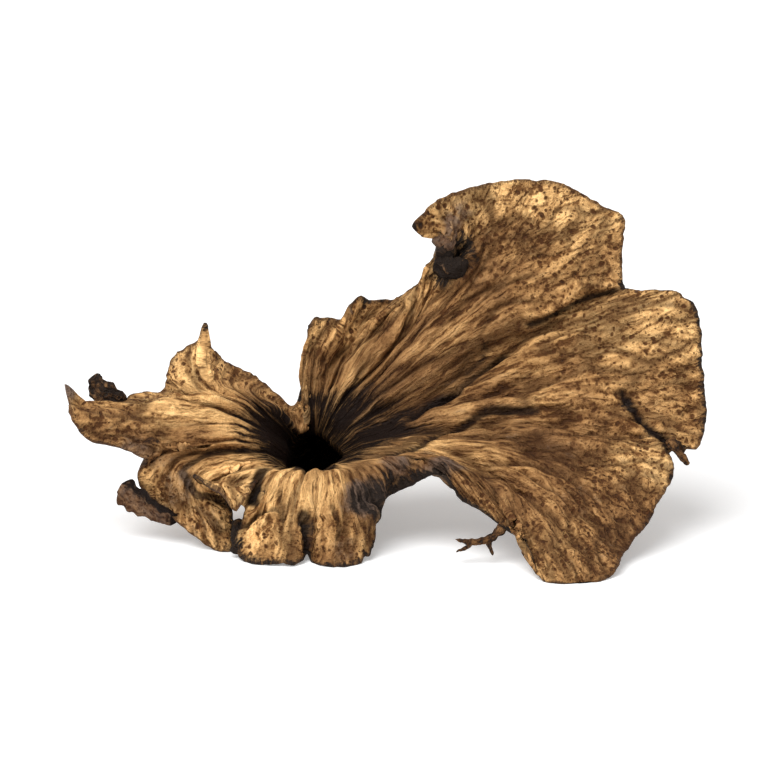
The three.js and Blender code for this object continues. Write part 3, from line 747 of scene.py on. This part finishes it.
def tone_and_shading_field(sheet):
    """Lightness of the flesh from 0 to 1 with painted light and shade in it, blended smoothly between the
    tone spots.
    """
    total = np.zeros(sheet.points.shape[:2])
    weights = np.zeros(sheet.points.shape[:2])
    for level, bearing, tone_and_shading in TONE_AND_SHADING_SPOTS:
        away = np.linalg.norm(sheet.points - sheet.spot(level, bearing), axis=2)
        weight = 1 / (away**2 + TONE_BLUR**2) ** 2
        total += tone_and_shading * weight
        weights += weight
    return total / weights


def throat_reach(sheet):
    """Painted shade that climbs out of the throat, higher on its back wall than over its front lip."""
    bearings, reach, fade = zip(*THROAT_SHADE)
    top = np.interp(sheet.bearings, bearings, reach, period=360)
    soft = np.interp(sheet.bearings, bearings, fade, period=360)
    return 1 - smooth_step(top - 0.2, top + soft, sheet.level_grid)


def furrow_relief(sheet, side):
    """Distance to the nearest furrow in shares of their spacing, and the height of the ridges."""
    seed, spacing, deep = FURROW_LAYOUT[side]
    distance = furrow_distance(sheet, seed, spacing)
    stem_share = STEM_RELIEF[side]
    calm = stem_share + (1 - stem_share) * smooth_step(-1.5, 0.2, sheet.level_grid)
    calm = calm * (1 - 0.5 * smooth_step(1.1, 1.8, sheet.level_grid))
    swell = 0.75 + 0.5 * noise3(stretched(sheet.grain, 0.2, 0.1), seed + 20)
    ridges = (rounded_ridge(distance, 0.3 * spacing) - 0.6) * deep * calm * swell
    return distance / spacing, ridges


def lumps(sheet, black_and_shade):
    """Moves of the whole flesh: soft unevenness, knobs, and the bigger lumps of its blackened and shaded
    patches.
    """
    soft = layered(sheet.points, UNEVENNESS)
    knobs = layered(sheet.points, KNOBS)
    burls = layered(sheet.points, BURLS)
    return soft + knobs * patch_mask(sheet, KNOBBLY) + burls * black_and_shade


def side_offset(sheet, side, ridges, shared):
    """Distance of one side from the middle of the flesh. The outer side keeps clear of the inner furrows."""
    whole = np.interp(sheet.levels, [-1, 0], [STEM_FLESH, CAP_FLESH])[:, None]
    thickness = EDGE_FLESH + (whole - EDGE_FLESH) * smooth_step(0, EDGE_THINNING, sheet.to_margin)
    thickness = thickness * (1 - patch_mask(sheet, THINNED))
    edge_calm = EDGE_RELIEF + (1 - EDGE_RELIEF) * smooth_step(0.0, CALM_REACH, sheet.to_margin)
    edge_calm *= smooth_step(*SHORT_FLESH, sheet.room)
    height = thickness / 2 + ridges * edge_calm
    if side == INNER:
        height += rolled_ridges(sheet) * edge_calm
    else:
        inner_height = thickness / 2 + furrow_relief(sheet, INNER)[1] * edge_calm
        height = np.maximum(height, LEAST_FLESH - inner_height)
    return side * height + shared * edge_calm


def flesh_side(bearings, levels, side):
    """Rows of one side of the flesh with its relief, stem to margin, and what its material reads."""
    sheet = Sheet(bearings, levels)
    normals = sheet_normals(sheet.points)
    bent = sheet.points + normals * broad_folds(sheet)[..., None]
    normals = sheet_normals(bent)
    distance, ridges = furrow_relief(sheet, side)
    slit_depth, painted_slit_shade = groove_moves(sheet)
    # Blackened patches and margin: partly the flesh's own blue-black, partly painted shade in the hollow,
    # clefts and undersides.
    black_and_shade = np.maximum(patch_mask(sheet, BLACK_AND_SHADE_PATCHES), dark_and_shaded_edges(sheet))
    offset = side_offset(sheet, side, ridges, lumps(sheet, black_and_shade) - slit_depth)
    rows = bent + normals * offset[..., None] + ragged_margin(sheet, bent, normals)
    fields = {
        # Furrow bottoms, which the material paints with shade.
        "furrow": 1 - smooth_step(0.0, 0.26, distance),
        # Furrow crests, which the material paints with highlight and some wear.
        "crest": smooth_step(0.3, 0.7, distance),
        # Painted shade in the throat.
        "throat": throat_reach(sheet),
        # Valley folds, which the material paints with shade.
        "fold": np.clip(sheet.folds / 1.2, 0, 1),
        # Painted shade in and round the slits.
        "slit_shade": painted_slit_shade,
        "level": sheet.level_grid,
        "to_margin": sheet.to_margin,
        "spread": np.clip(sheet.spread, 0, 6),
        "black_and_shade": black_and_shade,
        # Grey patches: grey bloom, and on dark curls painted highlight.
        "grey_and_highlight": patch_mask(sheet, GREY_AND_HIGHLIGHT_PATCHES),
        # Lightness with broad painted light and shade in it.
        "tone_and_shading": tone_and_shading_field(sheet),
        "grain": sheet.grain,
        "place": sheet.points,
    }
    return rows, fields


# ---------------------------------------------------------------- meshes


def picked(fields, rows):
    """The given rows of every field."""
    return {name: value[rows] for name, value in fields.items()}


def add_object(name, data):
    thing = bpy.data.objects.new(name, data)
    bpy.context.scene.collection.objects.link(thing)
    return thing


class Skin:
    """Points, faces and field values of one closed mesh, gathered band by band."""

    def __init__(self):
        self.points = []
        self.faces = []
        self.material = []
        self.fields = {}

    def add_rows(self, rows, fields):
        """Adds a grid of points and returns the index of each as a grid."""
        first = sum(len(p) for p in self.points)
        self.points.append(rows.reshape(-1, 3))
        for name, value in fields.items():
            flat = np.asarray(value, float).reshape((rows.shape[0] * rows.shape[1],) + value.shape[2:])
            self.fields.setdefault(name, []).append(flat)
        return first + np.arange(rows.shape[0] * rows.shape[1]).reshape(rows.shape[:2])

    def add_faces(self, faces, material):
        self.faces.extend(tuple(int(i) for i in f) for f in faces)
        self.material.extend([material] * len(faces))

    def band(self, low, high, material):
        """Quads between two rows of indices of the same length, round a closed loop."""
        low_next = np.roll(low, -1)
        high_next = np.roll(high, -1)
        self.add_faces(np.stack([low, low_next, high_next, high], axis=-1), material)

    def bands(self, rows, material):
        """Quads over a whole grid of indices, row by row."""
        for low, high in zip(rows[:-1], rows[1:]):
            self.band(low, high, material)

    def halving_band(self, low, high, material):
        """Triangles from a row to one of half as many points, round a closed loop."""
        even, odd, next_even = low[0::2], low[1::2], np.roll(low[0::2], -1)
        high_next = np.roll(high, -1)
        for corners in ((even, odd, high), (odd, next_even, high_next), (odd, high_next, high)):
            self.add_faces(np.stack(corners, axis=-1), material)

    def shut(self, ring, rows, fields, facing_in, material):
        """Closes a ring of indices with a fan on its middle point."""
        centre = rows.mean(axis=0)[None, None]
        middle = {name: np.asarray(value, float).mean(axis=0)[None, None] for name, value in fields.items()}
        apex = np.full_like(ring, self.add_rows(centre, middle)[0, 0])
        following = np.roll(ring, -1)
        corners = (apex, following, ring) if facing_in else (apex, ring, following)
        self.add_faces(np.stack(corners, axis=-1), material)

    def build(self, name, materials):
        """Makes the mesh object, in metres, with its fields as attributes of its points."""
        points = np.concatenate(self.points) * MM
        mesh = bpy.data.meshes.new(name)
        mesh.from_pydata(points.tolist(), [], self.faces)
        for field, parts in self.fields.items():
            flat = np.concatenate(parts).astype(np.float32)
            is_vector = flat.ndim == 2
            attribute = mesh.attributes.new(field, "FLOAT_VECTOR" if is_vector else "FLOAT", "POINT")
            attribute.data.foreach_set("vector" if is_vector else "value", flat.ravel())
        for material in materials:
            mesh.materials.append(material)
        mesh.polygons.foreach_set("material_index", np.array(self.material, np.int32))
        mesh.polygons.foreach_set("use_smooth", np.ones(len(self.faces), bool))
        mesh.update()
        piece = add_object(name, mesh)
        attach(piece, BODY)
        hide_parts(NODE)
        return piece


def layout_shift():
    """Move from the layout to the frame, in millimetres: both boxes share their middle and the ground."""
    rows = plain_sheet(column_bearings(), np.linspace(-6, 2, 60)).reshape(-1, 3)
    centre = (rows.min(axis=0) + rows.max(axis=0)) / 2
    low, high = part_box(NODE)
    middle = (np.array(low) + np.array(high)) / 2 / MM
    return np.array([middle[0] - centre[0], middle[1] - centre[1], 0.0])


def settle(rows, shift):
    """Rows moved into the frame and kept on the ground."""
    placed = rows + shift
    placed[..., 2] = np.maximum(placed[..., 2], GROUND_GAP)
    return placed


def fruit_body(shift, inner_flesh, outer_flesh):
    """The whole funnel and stem as one closed skin: inner side, round edge, outer side and two end caps."""
    bearings = column_bearings()
    inner, inner_fields = flesh_side(bearings, INNER_LEVELS, INNER)
    outer, outer_fields = flesh_side(bearings[::2], OUTER_LEVELS[::-1], OUTER)
    outer = outer[::-1]
    outer_fields = picked(outer_fields, slice(None, None, -1))
    outward = unit(inner[-1] - inner[-3])
    around = np.arange(INNER_COLUMNS)
    outer_rim = np.stack([
        np.interp(around, around[::2], outer[0, :, axis], period=INNER_COLUMNS) for axis in range(3)
    ], axis=-1)
    rim = ((inner[-1] + outer_rim) / 2 + outward * EDGE_ROUND)[None]
    skin = Skin()
    inner_ids = skin.add_rows(settle(inner, shift), inner_fields)
    rim_ids = skin.add_rows(settle(rim, shift), picked(inner_fields, slice(-1, None)))
    outer_ids = skin.add_rows(settle(outer, shift), outer_fields)
    skin.bands(inner_ids, 0)
    skin.band(inner_ids[-1], rim_ids[0], 0)
    skin.halving_band(rim_ids[0], outer_ids[0], 1)
    skin.bands(outer_ids, 1)
    skin.shut(inner_ids[0], settle(inner[0], shift), picked(inner_fields, 0), True, 0)
    skin.shut(outer_ids[-1], settle(outer[-1], shift), picked(outer_fields, -1), False, 1)
    return skin.build("trumpet_flesh", [inner_flesh, outer_flesh])


SHRED_SIDES = 20
SHRED_STEPS = 36
SHRED_WAVE = 0.32  # share of its thickness by which a shred waves
SHRED_TONE = 0.35
SHRED_RUN = 8  # length of the grain down a shred, in millimetres


def shred_rows(spine, widths, thickness, facing, curl):
    """Rings of points down a flat strip with rounded, curled edges and rough sides, and its grain."""
    at = np.linspace(0, 1, SHRED_STEPS)
    line = spline(spine, at)
    width = spline(widths, at)
    along = unit(np.gradient(line, axis=0))
    face = np.array(facing, float)
    face = unit(face - along * (along @ face)[:, None])
    sideways = np.cross(along, face)
    turn = -2 * math.pi * np.arange(SHRED_SIDES) / SHRED_SIDES
    end = np.sqrt(np.clip(1 - (2 * at - 1) ** 8, 0.02, 1))[:, None]
    half = width / 2 * end * np.cos(turn)
    lift = thickness / 2 * end * np.sin(turn) + curl * (2 * half / width) ** 2
    rows = line[:, None] + sideways[:, None] * half[..., None] + face[:, None] * lift[..., None]
    rows += noise3(rows * 0.9, 71)[..., None] * face[:, None] * SHRED_WAVE * thickness
    torn = noise3(rows * 1.1, 72) * 0.14 * width + noise3(rows * 2.4, 74) * 0.12
    rows += torn[..., None] * sideways[:, None]
    grain = np.stack([half, lift, np.broadcast_to(at[:, None] * SHRED_RUN, half.shape)], axis=-1)
    return rows, grain, width


def shred_fields(rows, grain, width, stains):
    """What the material reads on a shred: as at the margin, with the shred's own black, grey and painted
    shade.
    """
    black_and_shade, grey_and_highlight, shaded_edge, shaded_end = stains
    at = np.linspace(0, 1, SHRED_STEPS)
    turn = -2 * math.pi * np.arange(SHRED_SIDES) / SHRED_SIDES
    end_shade = shaded_end * (1 - smooth_step(0.1, 0.25, at))
    still = np.zeros(rows.shape[:2])
    return {
        "furrow": smooth_step(-0.1, 0.6, noise3(rows * np.array([1.6, 0.6, 1.6]), 73)),
        "fold": still,
        "slit_shade": still,
        "crest": still,
        # Painted shade along the upper edge and at the first end.
        "throat": still + shaded_edge * smooth_step(0.1, 0.6, np.cos(turn)) + end_shade[:, None],
        "level": still + 2,
        "to_margin": width / 2 * (1 - np.cos(turn)),
        "spread": still + 1,
        "black_and_shade": still + black_and_shade,
        "grey_and_highlight": still + grey_and_highlight,
        "tone_and_shading": still + SHRED_TONE,
        "grain": grain,
        "place": rows.copy(),
    }


def shred(name, spine, widths, thickness, facing, curl, shift, material):
    """One torn shred as a closed strip."""
    rows, grain, width = shred_rows(spine, widths, thickness, facing, curl)
    fields = shred_fields(rows, grain, width, SHRED_MARKS_AND_SHADE[name])
    skin = Skin()
    ids = skin.add_rows(settle(rows, shift), fields)
    skin.bands(ids, 0)
    skin.shut(ids[0], settle(rows[0], shift), picked(fields, 0), True, 0)
    skin.shut(ids[-1], settle(rows[-1], shift), picked(fields, -1), False, 0)
    return skin.build(name, [material])


# ---------------------------------------------------------------- materials

SMALLEST_PIT = 0.1  # radius in cells
LINE_SIZES = 3  # sizes of wrinkle, each half as wide as the one before


def add(tree, kind, values=None, **settings):
    """Adds a node, sets its settings, and links or sets its inputs by name or number."""
    node = tree.nodes.new(kind)
    for key, value in settings.items():
        setattr(node, key, value)
    for key, value in (values or {}).items():
        socket = node.inputs[key]
        if isinstance(value, bpy.types.NodeSocket):
            tree.links.new(value, socket)
        else:
            socket.default_value = value
    return node


def calc(tree, operation, a, b=0.0, c=0.0):
    return add(tree, "ShaderNodeMath", {0: a, 1: b, 2: c}, operation=operation).outputs[0]


def blend(tree, share, a, b, kind="MIX"):
    """Colour a mixed with colour b by a share."""
    return add(tree, "ShaderNodeMix", {0: share, 6: a, 7: b}, data_type="RGBA", blend_type=kind).outputs[2]


def between(tree, value, low, high, out_low=0.0, out_high=1.0):
    """Value remapped smoothly from low..high to the output range."""
    values = {"Value": value, "From Min": low, "From Max": high, "To Min": out_low, "To Max": out_high}
    return add(tree, "ShaderNodeMapRange", values, interpolation_type="SMOOTHSTEP").outputs["Result"]


def field(tree, name):
    return add(tree, "ShaderNodeAttribute", attribute_name=name)


def vector_calc(tree, operation, a, b, c=(0.0, 0.0, 0.0)):
    return add(tree, "ShaderNodeVectorMath", {0: a, 1: b, 2: c}, operation=operation).outputs[0]


def scaled(tree, vector, across, along):
    return vector_calc(tree, "MULTIPLY", vector, (across, across, along))


def noise(tree, vector, scale=1.0, detail=3.0, roughness=0.55):
    values = {"Vector": vector, "Scale": scale, "Detail": detail, "Roughness": roughness}
    return add(tree, "ShaderNodeTexNoise", values).outputs["Fac"]


def group_tree(name, inputs, outputs):
    """An empty shader group with named sockets, and the sockets to read and write inside it."""
    tree = bpy.data.node_groups.new(name, "ShaderNodeTree")
    for label, kind, default in inputs:
        socket = tree.interface.new_socket(name=label, in_out="INPUT", socket_type=kind)
        if default is not None:
            socket.default_value = default
    for label, kind in outputs:
        tree.interface.new_socket(name=label, in_out="OUTPUT", socket_type=kind)
    source = tree.nodes.new("NodeGroupInput")
    sink = tree.nodes.new("NodeGroupOutput")
    return tree, source.outputs, sink.inputs


def mixed(tree, share, a, b):
    """Value a mixed with value b by a share."""
    return add(tree, "ShaderNodeMix", {0: share, 2: a, 3: b}, data_type="FLOAT").outputs[0]


def even_grain(tree, grain, spread, across, along, detail):
    """Noise along the flesh whose bumps keep about the same width as the flesh widens."""
    close, plain, wide = (
        noise(tree, scaled(tree, grain, across * f, along * g), 1.0, detail, 0.6)
        for f, g in ((0.5, 0.8), (1.0, 1.0), (2.0, 1.3))
    )
    inner = mixed(tree, between(tree, spread, 0.35, 0.7), close, plain)
    return mixed(tree, between(tree, spread, 1.1, 1.9), inner, wide)


def furrow_lines(tree, grain, spread, across, along, crowded):
    """Distance in millimetres to the nearest fine line along the flesh, from wrinkles of several sizes."""
    nearest = None
    for octave in range(LINE_SIZES):
        close = across * 2**octave
        wrinkle = noise(tree, scaled(tree, grain, close, along * 1.6**octave), 1.0, 0.0)
        crossing = calc(tree, "ABSOLUTE", calc(tree, "SUBTRACT", wrinkle, 0.5))
        distance = calc(tree, "MULTIPLY", calc(tree, "MULTIPLY", crossing, spread), 1.3 / close)
        bias = calc(tree, "SUBTRACT", calc(tree, "DIVIDE", close / crowded, spread), 1.0)
        bias = calc(tree, "MULTIPLY", calc(tree, "MAXIMUM", bias, 0.0), 0.5)
        distance = calc(tree, "ADD", distance, bias)
        nearest = distance if nearest is None else calc(tree, "MINIMUM", nearest, distance)
    return nearest


def pits(tree, vector, largest, channel):
    """Soft round pits in scattered cells, each of its own size."""
    cells = add(tree, "ShaderNodeTexVoronoi", {"Vector": vector, "Scale": 1.0})
    pick = add(tree, "ShaderNodeSeparateColor", {0: cells.outputs["Color"]}).outputs[channel]
    size = calc(tree, "MULTIPLY_ADD", pick, largest, SMALLEST_PIT)
    rim = calc(tree, "SUBTRACT", cells.outputs["Distance"], size)
    return between(tree, rim, -0.12, 0.1, 1.0, 0.0)


def summed(tree, parts, start=0.0):
    """A start value plus each value times its weight."""
    total = start
    for value, weight in parts:
        total = calc(tree, "ADD", calc(tree, "MULTIPLY", value, weight), total)
    return total


def flesh_grain_group():
    """Fine relief of dried flesh: fibres and lines along its run, lumps, grit, and pits by the margin."""
    tree, give, take = group_tree(
        "flesh grain",
        [("Grain", "NodeSocketVector", None), ("Place", "NodeSocketVector", None),
         ("Spread", "NodeSocketFloat", 1.0), ("Level", "NodeSocketFloat", 1.0)],
        [("Lines", "NodeSocketFloat"), ("Pits", "NodeSocketFloat"), ("Grit", "NodeSocketFloat"),
         ("Height", "NodeSocketFloat")],
    )
    drift = add(tree, "ShaderNodeTexNoise", {"Vector": give["Place"], "Scale": 0.7, "Detail": 2.0})
    drift = vector_calc(tree, "SUBTRACT", drift.outputs["Color"], (0.5, 0.5, 0.5))
    grain = vector_calc(tree, "MULTIPLY_ADD", drift, (0.7, 0.7, 1.0), give["Grain"])
    place = vector_calc(tree, "MULTIPLY_ADD", drift, (0.9, 0.9, 0.9), give["Place"])
    spread = calc(tree, "MAXIMUM", give["Spread"], 0.15)
    distance = furrow_lines(tree, grain, spread, 0.6, 0.1, 1.2)
    lines = between(tree, distance, 0.0, 0.2, 1.0, 0.0)
    outer = between(tree, give["Level"], 0.7, 1.5)
    small = pits(tree, scaled(tree, place, 1.15, 1.15), 0.24, 0)
    tiny = pits(tree, scaled(tree, place, 2.1, 2.1), 0.2, 1)
    holes = calc(tree, "MULTIPLY", calc(tree, "MAXIMUM", small, calc(tree, "MULTIPLY", tiny, 0.7)), outer)
    ridges = even_grain(tree, grain, spread, 0.9, 0.15, 2.0)
    fibres = even_grain(tree, grain, spread, 2.0, 0.42, 3.0)
    lumps = noise(tree, scaled(tree, place, 2.0, 2.0), 1.0, 3.0, 0.6)
    grit = noise(tree, scaled(tree, place, 4.6, 4.6), 1.0, 2.0, 0.6)
    uneven = mixed(tree, outer, fibres, lumps)
    parts = ((ridges, 1.7), (fibres, 1.4), (uneven, 1.4), (grit, 0.6), (lines, -0.35), (holes, -0.45))
    height = summed(tree, parts, -1.9)
    for label, value in (("Lines", lines), ("Pits", holes), ("Grit", grit), ("Height", height)):
        tree.links.new(value, take[label])
    return tree


def stain_group():
    """Broad uneven staining over the flesh, and smaller blotches."""
    tree, give, take = group_tree(
        "flesh stains",
        [("Grain", "NodeSocketVector", None)],
        [("Broad", "NodeSocketFloat"), ("Blotches", "NodeSocketFloat")],
    )
    broad = noise(tree, scaled(tree, give["Grain"], 0.16, 0.11), 1.0, 3.0)
    blotches = noise(tree, scaled(tree, give["Grain"], 0.75, 0.4), 1.0, 4.0, 0.65)
    tree.links.new(between(tree, broad, 0.35, 0.65), take["Broad"])
    tree.links.new(between(tree, blotches, 0.4, 0.66), take["Blotches"])
    return tree


def use_group(tree, group, values):
    return add(tree, "ShaderNodeGroup", values, node_tree=group).outputs


def colour(red, green, blue):
    return (red, green, blue, 1.0)


def ramp(tree, value, stops):
    """Colour read from a row of (place, colour) stops."""
    node = add(tree, "ShaderNodeValToRGB", {0: value})
    elements = node.color_ramp.elements
    while len(elements) < len(stops):
        elements.new(0.5)
    for element, (place, tint) in zip(elements, stops):
        element.position = place
        element.color = tint
    return node.outputs[0]


def flesh_fields(tree):
    """Sockets that read the flesh's fields, by name."""
    names = (
        "furrow", "crest", "fold", "slit_shade", "level", "throat", "spread", "to_margin", "black_and_shade", "grey_and_highlight", "tone_and_shading",
    )
    return {name: field(tree, name).outputs["Fac"] for name in names}


def shaded_and_worn_colour(tree, value, fine, stains, tones):
    """Tone of the flesh: ramp by lightness, with painted shade in its hollows and painted highlight with some
    wear on its crests.
    """
    # Lightness from the spots, with their painted light and shade.
    tone_and_shading = summed(tree, ((stains["Broad"], 0.3), (stains["Blotches"], 0.2), (value["tone_and_shading"], 1.0)), -0.25)
    body = ramp(tree, tone_and_shading, tones["ramp"])
    # Painted shade on the low parts of the fine relief, painted highlight with some wear on its high parts.
    hollow_shade = between(tree, fine["Height"], 0.45, 0.0)
    crest_highlight_and_wear = between(tree, fine["Height"], 0.4, 0.9)
    body = blend(tree, hollow_shade, body, tones["hollow_shade"], "MULTIPLY")
    body = blend(tree, crest_highlight_and_wear, body, tones["crest_highlight_and_wear"], "MULTIPLY")
    # Painted highlight with some wear on the furrows' crests.
    body = blend(tree, calc(tree, "MULTIPLY", value["crest"], 0.35), body, tones["crest_highlight_and_wear"], "MULTIPLY")
    # Painted shade in the fine lines.
    body = blend(tree, calc(tree, "MULTIPLY", fine["Lines"], 0.45), body, tones["hollow_shade"], "MULTIPLY")
    # Painted shade in the furrow bottoms.
    body = blend(tree, calc(tree, "MULTIPLY", value["furrow"], 0.7), body, tones["deep"])
    return blend(tree, calc(tree, "MULTIPLY", fine["Pits"], 0.85), body, tones["spot"])


def stained_colour(tree, body, value, fine, stains, tones):
    """Flesh with painted shade in folds and slits, darker at its edge, then greyed, blackened and lost in the
    throat's painted shade.
    """
    # Painted shade in the valley folds.
    body = blend(tree, between(tree, value["fold"], 0.7, 1.3, 0.0, 0.8), body, tones["deep"])
    # Painted shade in the slits.
    body = blend(tree, value["slit_shade"], body, tones["throat"])
    reach = summed(tree, ((value["to_margin"], 1.0), (fine["Grit"], 1.2)), -0.6)
    rim = between(tree, reach, 1.0, 3.5, tones["rim_share"], 0.0)
    body = blend(tree, rim, body, tones["rim"])
    body = blend(tree, between(tree, reach, -0.05, 0.5, 0.8, 0.0), body, tones["edge"])
    # Grey bloom, which on dark curls and ridge tops also stands as painted highlight.
    grey_and_highlight_share = summed(tree, ((value["grey_and_highlight"], 1.0), (fine["Height"], 0.5), (stains["Blotches"], 0.3)), -0.4)
    body = blend(tree, between(tree, grey_and_highlight_share, 0.1, 1.1, 0.0, 0.85), body, tones["grey_and_highlight"])
    # Blue-black of the flesh, and painted shade in the hollow, clefts and undersides.
    black_and_shade_share = summed(tree, ((value["black_and_shade"], 1.0), (fine["Height"], -0.6), (stains["Blotches"], 0.2)), 0.15)
    body = blend(tree, between(tree, black_and_shade_share, 0.2, 0.9), body, tones["black_and_shade"])
    # Painted shade: the flesh sinks to near black toward the throat, and on the outer side toward the stem.
    shaded = summed(tree, ((value["throat"], 1.0), (value["furrow"], 0.35), (fine["Height"], -0.5)), 0.1)
    inside = between(tree, value["throat"], 0.0, 0.4)
    shaded = calc(tree, "MULTIPLY", between(tree, shaded, 0.15, 0.85), inside)
    return blend(tree, shaded, body, tones["throat"])


def flesh_material(name, grain_group, stains_group, tones, bump):
    """Matt dried flesh: the stained colour over fine relief."""
    material = bpy.data.materials.new(name)
    material.use_nodes = True
    tree = material.node_tree
    shader = tree.nodes["Principled BSDF"]
    grain = field(tree, "grain").outputs["Vector"]
    place = field(tree, "place").outputs["Vector"]
    value = flesh_fields(tree)
    fine = use_group(tree, grain_group, {
        "Grain": grain, "Place": place, "Spread": value["spread"], "Level": value["level"],
    })
    stains = use_group(tree, stains_group, {"Grain": grain})
    body = shaded_and_worn_colour(tree, value, fine, stains, tones)
    body = stained_colour(tree, body, value, fine, stains, tones)
    tree.links.new(body, shader.inputs["Base Color"])
    tree.links.new(summed(tree, ((fine["Grit"], 0.3),), 0.45), shader.inputs["Roughness"])
    shader.inputs["Specular IOR Level"].default_value = 0.12
    relief = add(tree, "ShaderNodeBump", {"Height": fine["Height"], "Strength": 1.0, "Distance": bump * MM})
    tree.links.new(relief.outputs[0], shader.inputs["Normal"])
    return material


INNER_BUMP = 0.38  # height in millimetres of the material's fine relief
OUTER_BUMP = 0.2
# Inner side. Painted light in these colours: the hollow, deep and throat colours paint shade, the black one
# partly shade, the crest and grey ones partly highlight.
INNER_TONES = {
    "ramp": (
        (0.0, colour(0.18, 0.083, 0.03)), (0.3, colour(0.38, 0.188, 0.068)),
        (0.6, colour(0.62, 0.33, 0.122)), (1.0, colour(0.93, 0.53, 0.205)),
    ),
    "hollow_shade": colour(0.34, 0.27, 0.22),
    "crest_highlight_and_wear": colour(1.5, 1.6, 1.7),
    "spot": colour(0.10, 0.036, 0.011),
    "deep": colour(0.05, 0.018, 0.005),
    "edge": colour(0.09, 0.04, 0.018),
    "rim": colour(0.30, 0.16, 0.06),
    "rim_share": 0.0,
    "grey_and_highlight": colour(0.18, 0.125, 0.1),
    "black_and_shade": colour(0.024, 0.016, 0.012),
    "throat": colour(0.01, 0.004, 0.002),
}
# Outer side, with the same painted shade and highlight as the inner, milder toward the stem.
OUTER_TONES = {
    "ramp": (
        (0.0, colour(0.16, 0.08, 0.03)), (0.3, colour(0.29, 0.155, 0.06)),
        (0.6, colour(0.45, 0.255, 0.1)), (1.0, colour(0.62, 0.37, 0.15)),
    ),
    "hollow_shade": colour(0.45, 0.4, 0.36),
    "crest_highlight_and_wear": colour(1.4, 1.45, 1.5),
    "spot": colour(0.16, 0.09, 0.04),
    "deep": colour(0.10, 0.05, 0.02),
    "edge": colour(0.08, 0.045, 0.03),
    "rim": colour(0.26, 0.135, 0.05),
    "rim_share": 0.85,
    "grey_and_highlight": colour(0.19, 0.145, 0.115),
    "black_and_shade": colour(0.024, 0.016, 0.012),
    "throat": colour(0.30, 0.19, 0.09),
}


def floor_material():
    """White where it is seen, and still darker in the shadow."""
    material = bpy.data.materials.new("pale floor")
    material.use_nodes = True
    tree = material.node_tree
    shader = tree.nodes["Principled BSDF"]
    shader.inputs["Base Color"].default_value = colour(0.93, 0.93, 0.93)
    shader.inputs["Roughness"].default_value = 0.9
    shader.inputs["Specular IOR Level"].default_value = 0.0
    shader.inputs["Emission Color"].default_value = colour(1, 1, 1)
    path = add(tree, "ShaderNodeLightPath")
    seen = calc(tree, "MAXIMUM", path.outputs["Is Camera Ray"], path.outputs["Is Glossy Ray"])
    tree.links.new(calc(tree, "MULTIPLY", seen, FLOOR_LIFT), shader.inputs["Emission Strength"])
    return material


# ---------------------------------------------------------------- stage, light and camera

FLOOR_HALF = 3.0
FLOOR_LIFT = 0.25
CAMERA_DISTANCE = 1.2
CAMERA_ELEVATION = math.radians(16.3)
FRAME_WIDTH = 0.088
AIM_Y = -0.009
AIM_Z = 0.0172
SENSOR = 36.0
NEAREST_SEEN = 0.05
FARTHEST_SEEN = 20
WORLD_LIGHT = 0.5
SUN_LIGHT = 2.3
SUN_SPREAD = math.radians(50)
SUN_SIDE = (-0.35, -0.4, 1.0)


def stage():
    """A pale floor that runs out of view."""
    mesh = bpy.data.meshes.new("floor")
    half = FLOOR_HALF
    corners = [(-half, -half, 0), (half, -half, 0), (half, half, 0), (-half, half, 0)]
    mesh.from_pydata(corners, [], [(0, 1, 2, 3)])
    mesh.materials.append(floor_material())
    add_object("floor", mesh)


def light():
    """A plain white surround and one very soft lamp from the front left."""
    world = bpy.data.worlds.new("studio")
    bpy.context.scene.world = world
    world.use_nodes = True
    tree = world.node_tree
    path = add(tree, "ShaderNodeLightPath")
    seen = calc(tree, "MAXIMUM", path.outputs["Is Camera Ray"], path.outputs["Is Transmission Ray"])
    seen = calc(tree, "MAXIMUM", seen, path.outputs["Is Glossy Ray"])
    strength = calc(tree, "MULTIPLY_ADD", seen, 1 - WORLD_LIGHT, WORLD_LIGHT)
    background = tree.nodes["Background"]
    background.inputs["Color"].default_value = colour(1, 1, 1)
    tree.links.new(strength, background.inputs["Strength"])
    sun = bpy.data.lights.new("soft_key", "SUN")
    sun.energy = SUN_LIGHT
    sun.angle = SUN_SPREAD
    lamp = add_object("soft_key", sun)
    lamp.rotation_euler = Vector(SUN_SIDE).to_track_quat("Z", "Y").to_euler()


def camera():
    """A long lens, a little above the mouth and square to it."""
    data = bpy.data.cameras.new("camera")
    data.sensor_width = SENSOR
    data.lens = SENSOR * CAMERA_DISTANCE / FRAME_WIDTH
    data.clip_start = NEAREST_SEEN
    data.clip_end = FARTHEST_SEEN
    eye = add_object("camera", data)
    back = Vector((0, -math.cos(CAMERA_ELEVATION), math.sin(CAMERA_ELEVATION)))
    aim = Vector(((cad_low[0] + cad_high[0]) / 2, AIM_Y, AIM_Z))
    eye.location = aim + back * CAMERA_DISTANCE
    eye.rotation_euler = back.to_track_quat("Z", "Y").to_euler()
    bpy.context.scene.camera = eye


shift = layout_shift()
grain_group = flesh_grain_group()
stains_group = stain_group()
inner_flesh = flesh_material("inner flesh", grain_group, stains_group, INNER_TONES, INNER_BUMP)
outer_flesh = flesh_material("outer flesh", grain_group, stains_group, OUTER_TONES, OUTER_BUMP)
fruit_body(shift, inner_flesh, outer_flesh)
for name, spine, widths, thickness, facing, curl in SHREDS:
    shred(name, spine, widths, thickness, facing, curl, shift, inner_flesh)
stage()
light()
camera()
bpy.context.scene.view_settings.view_transform = "Standard"
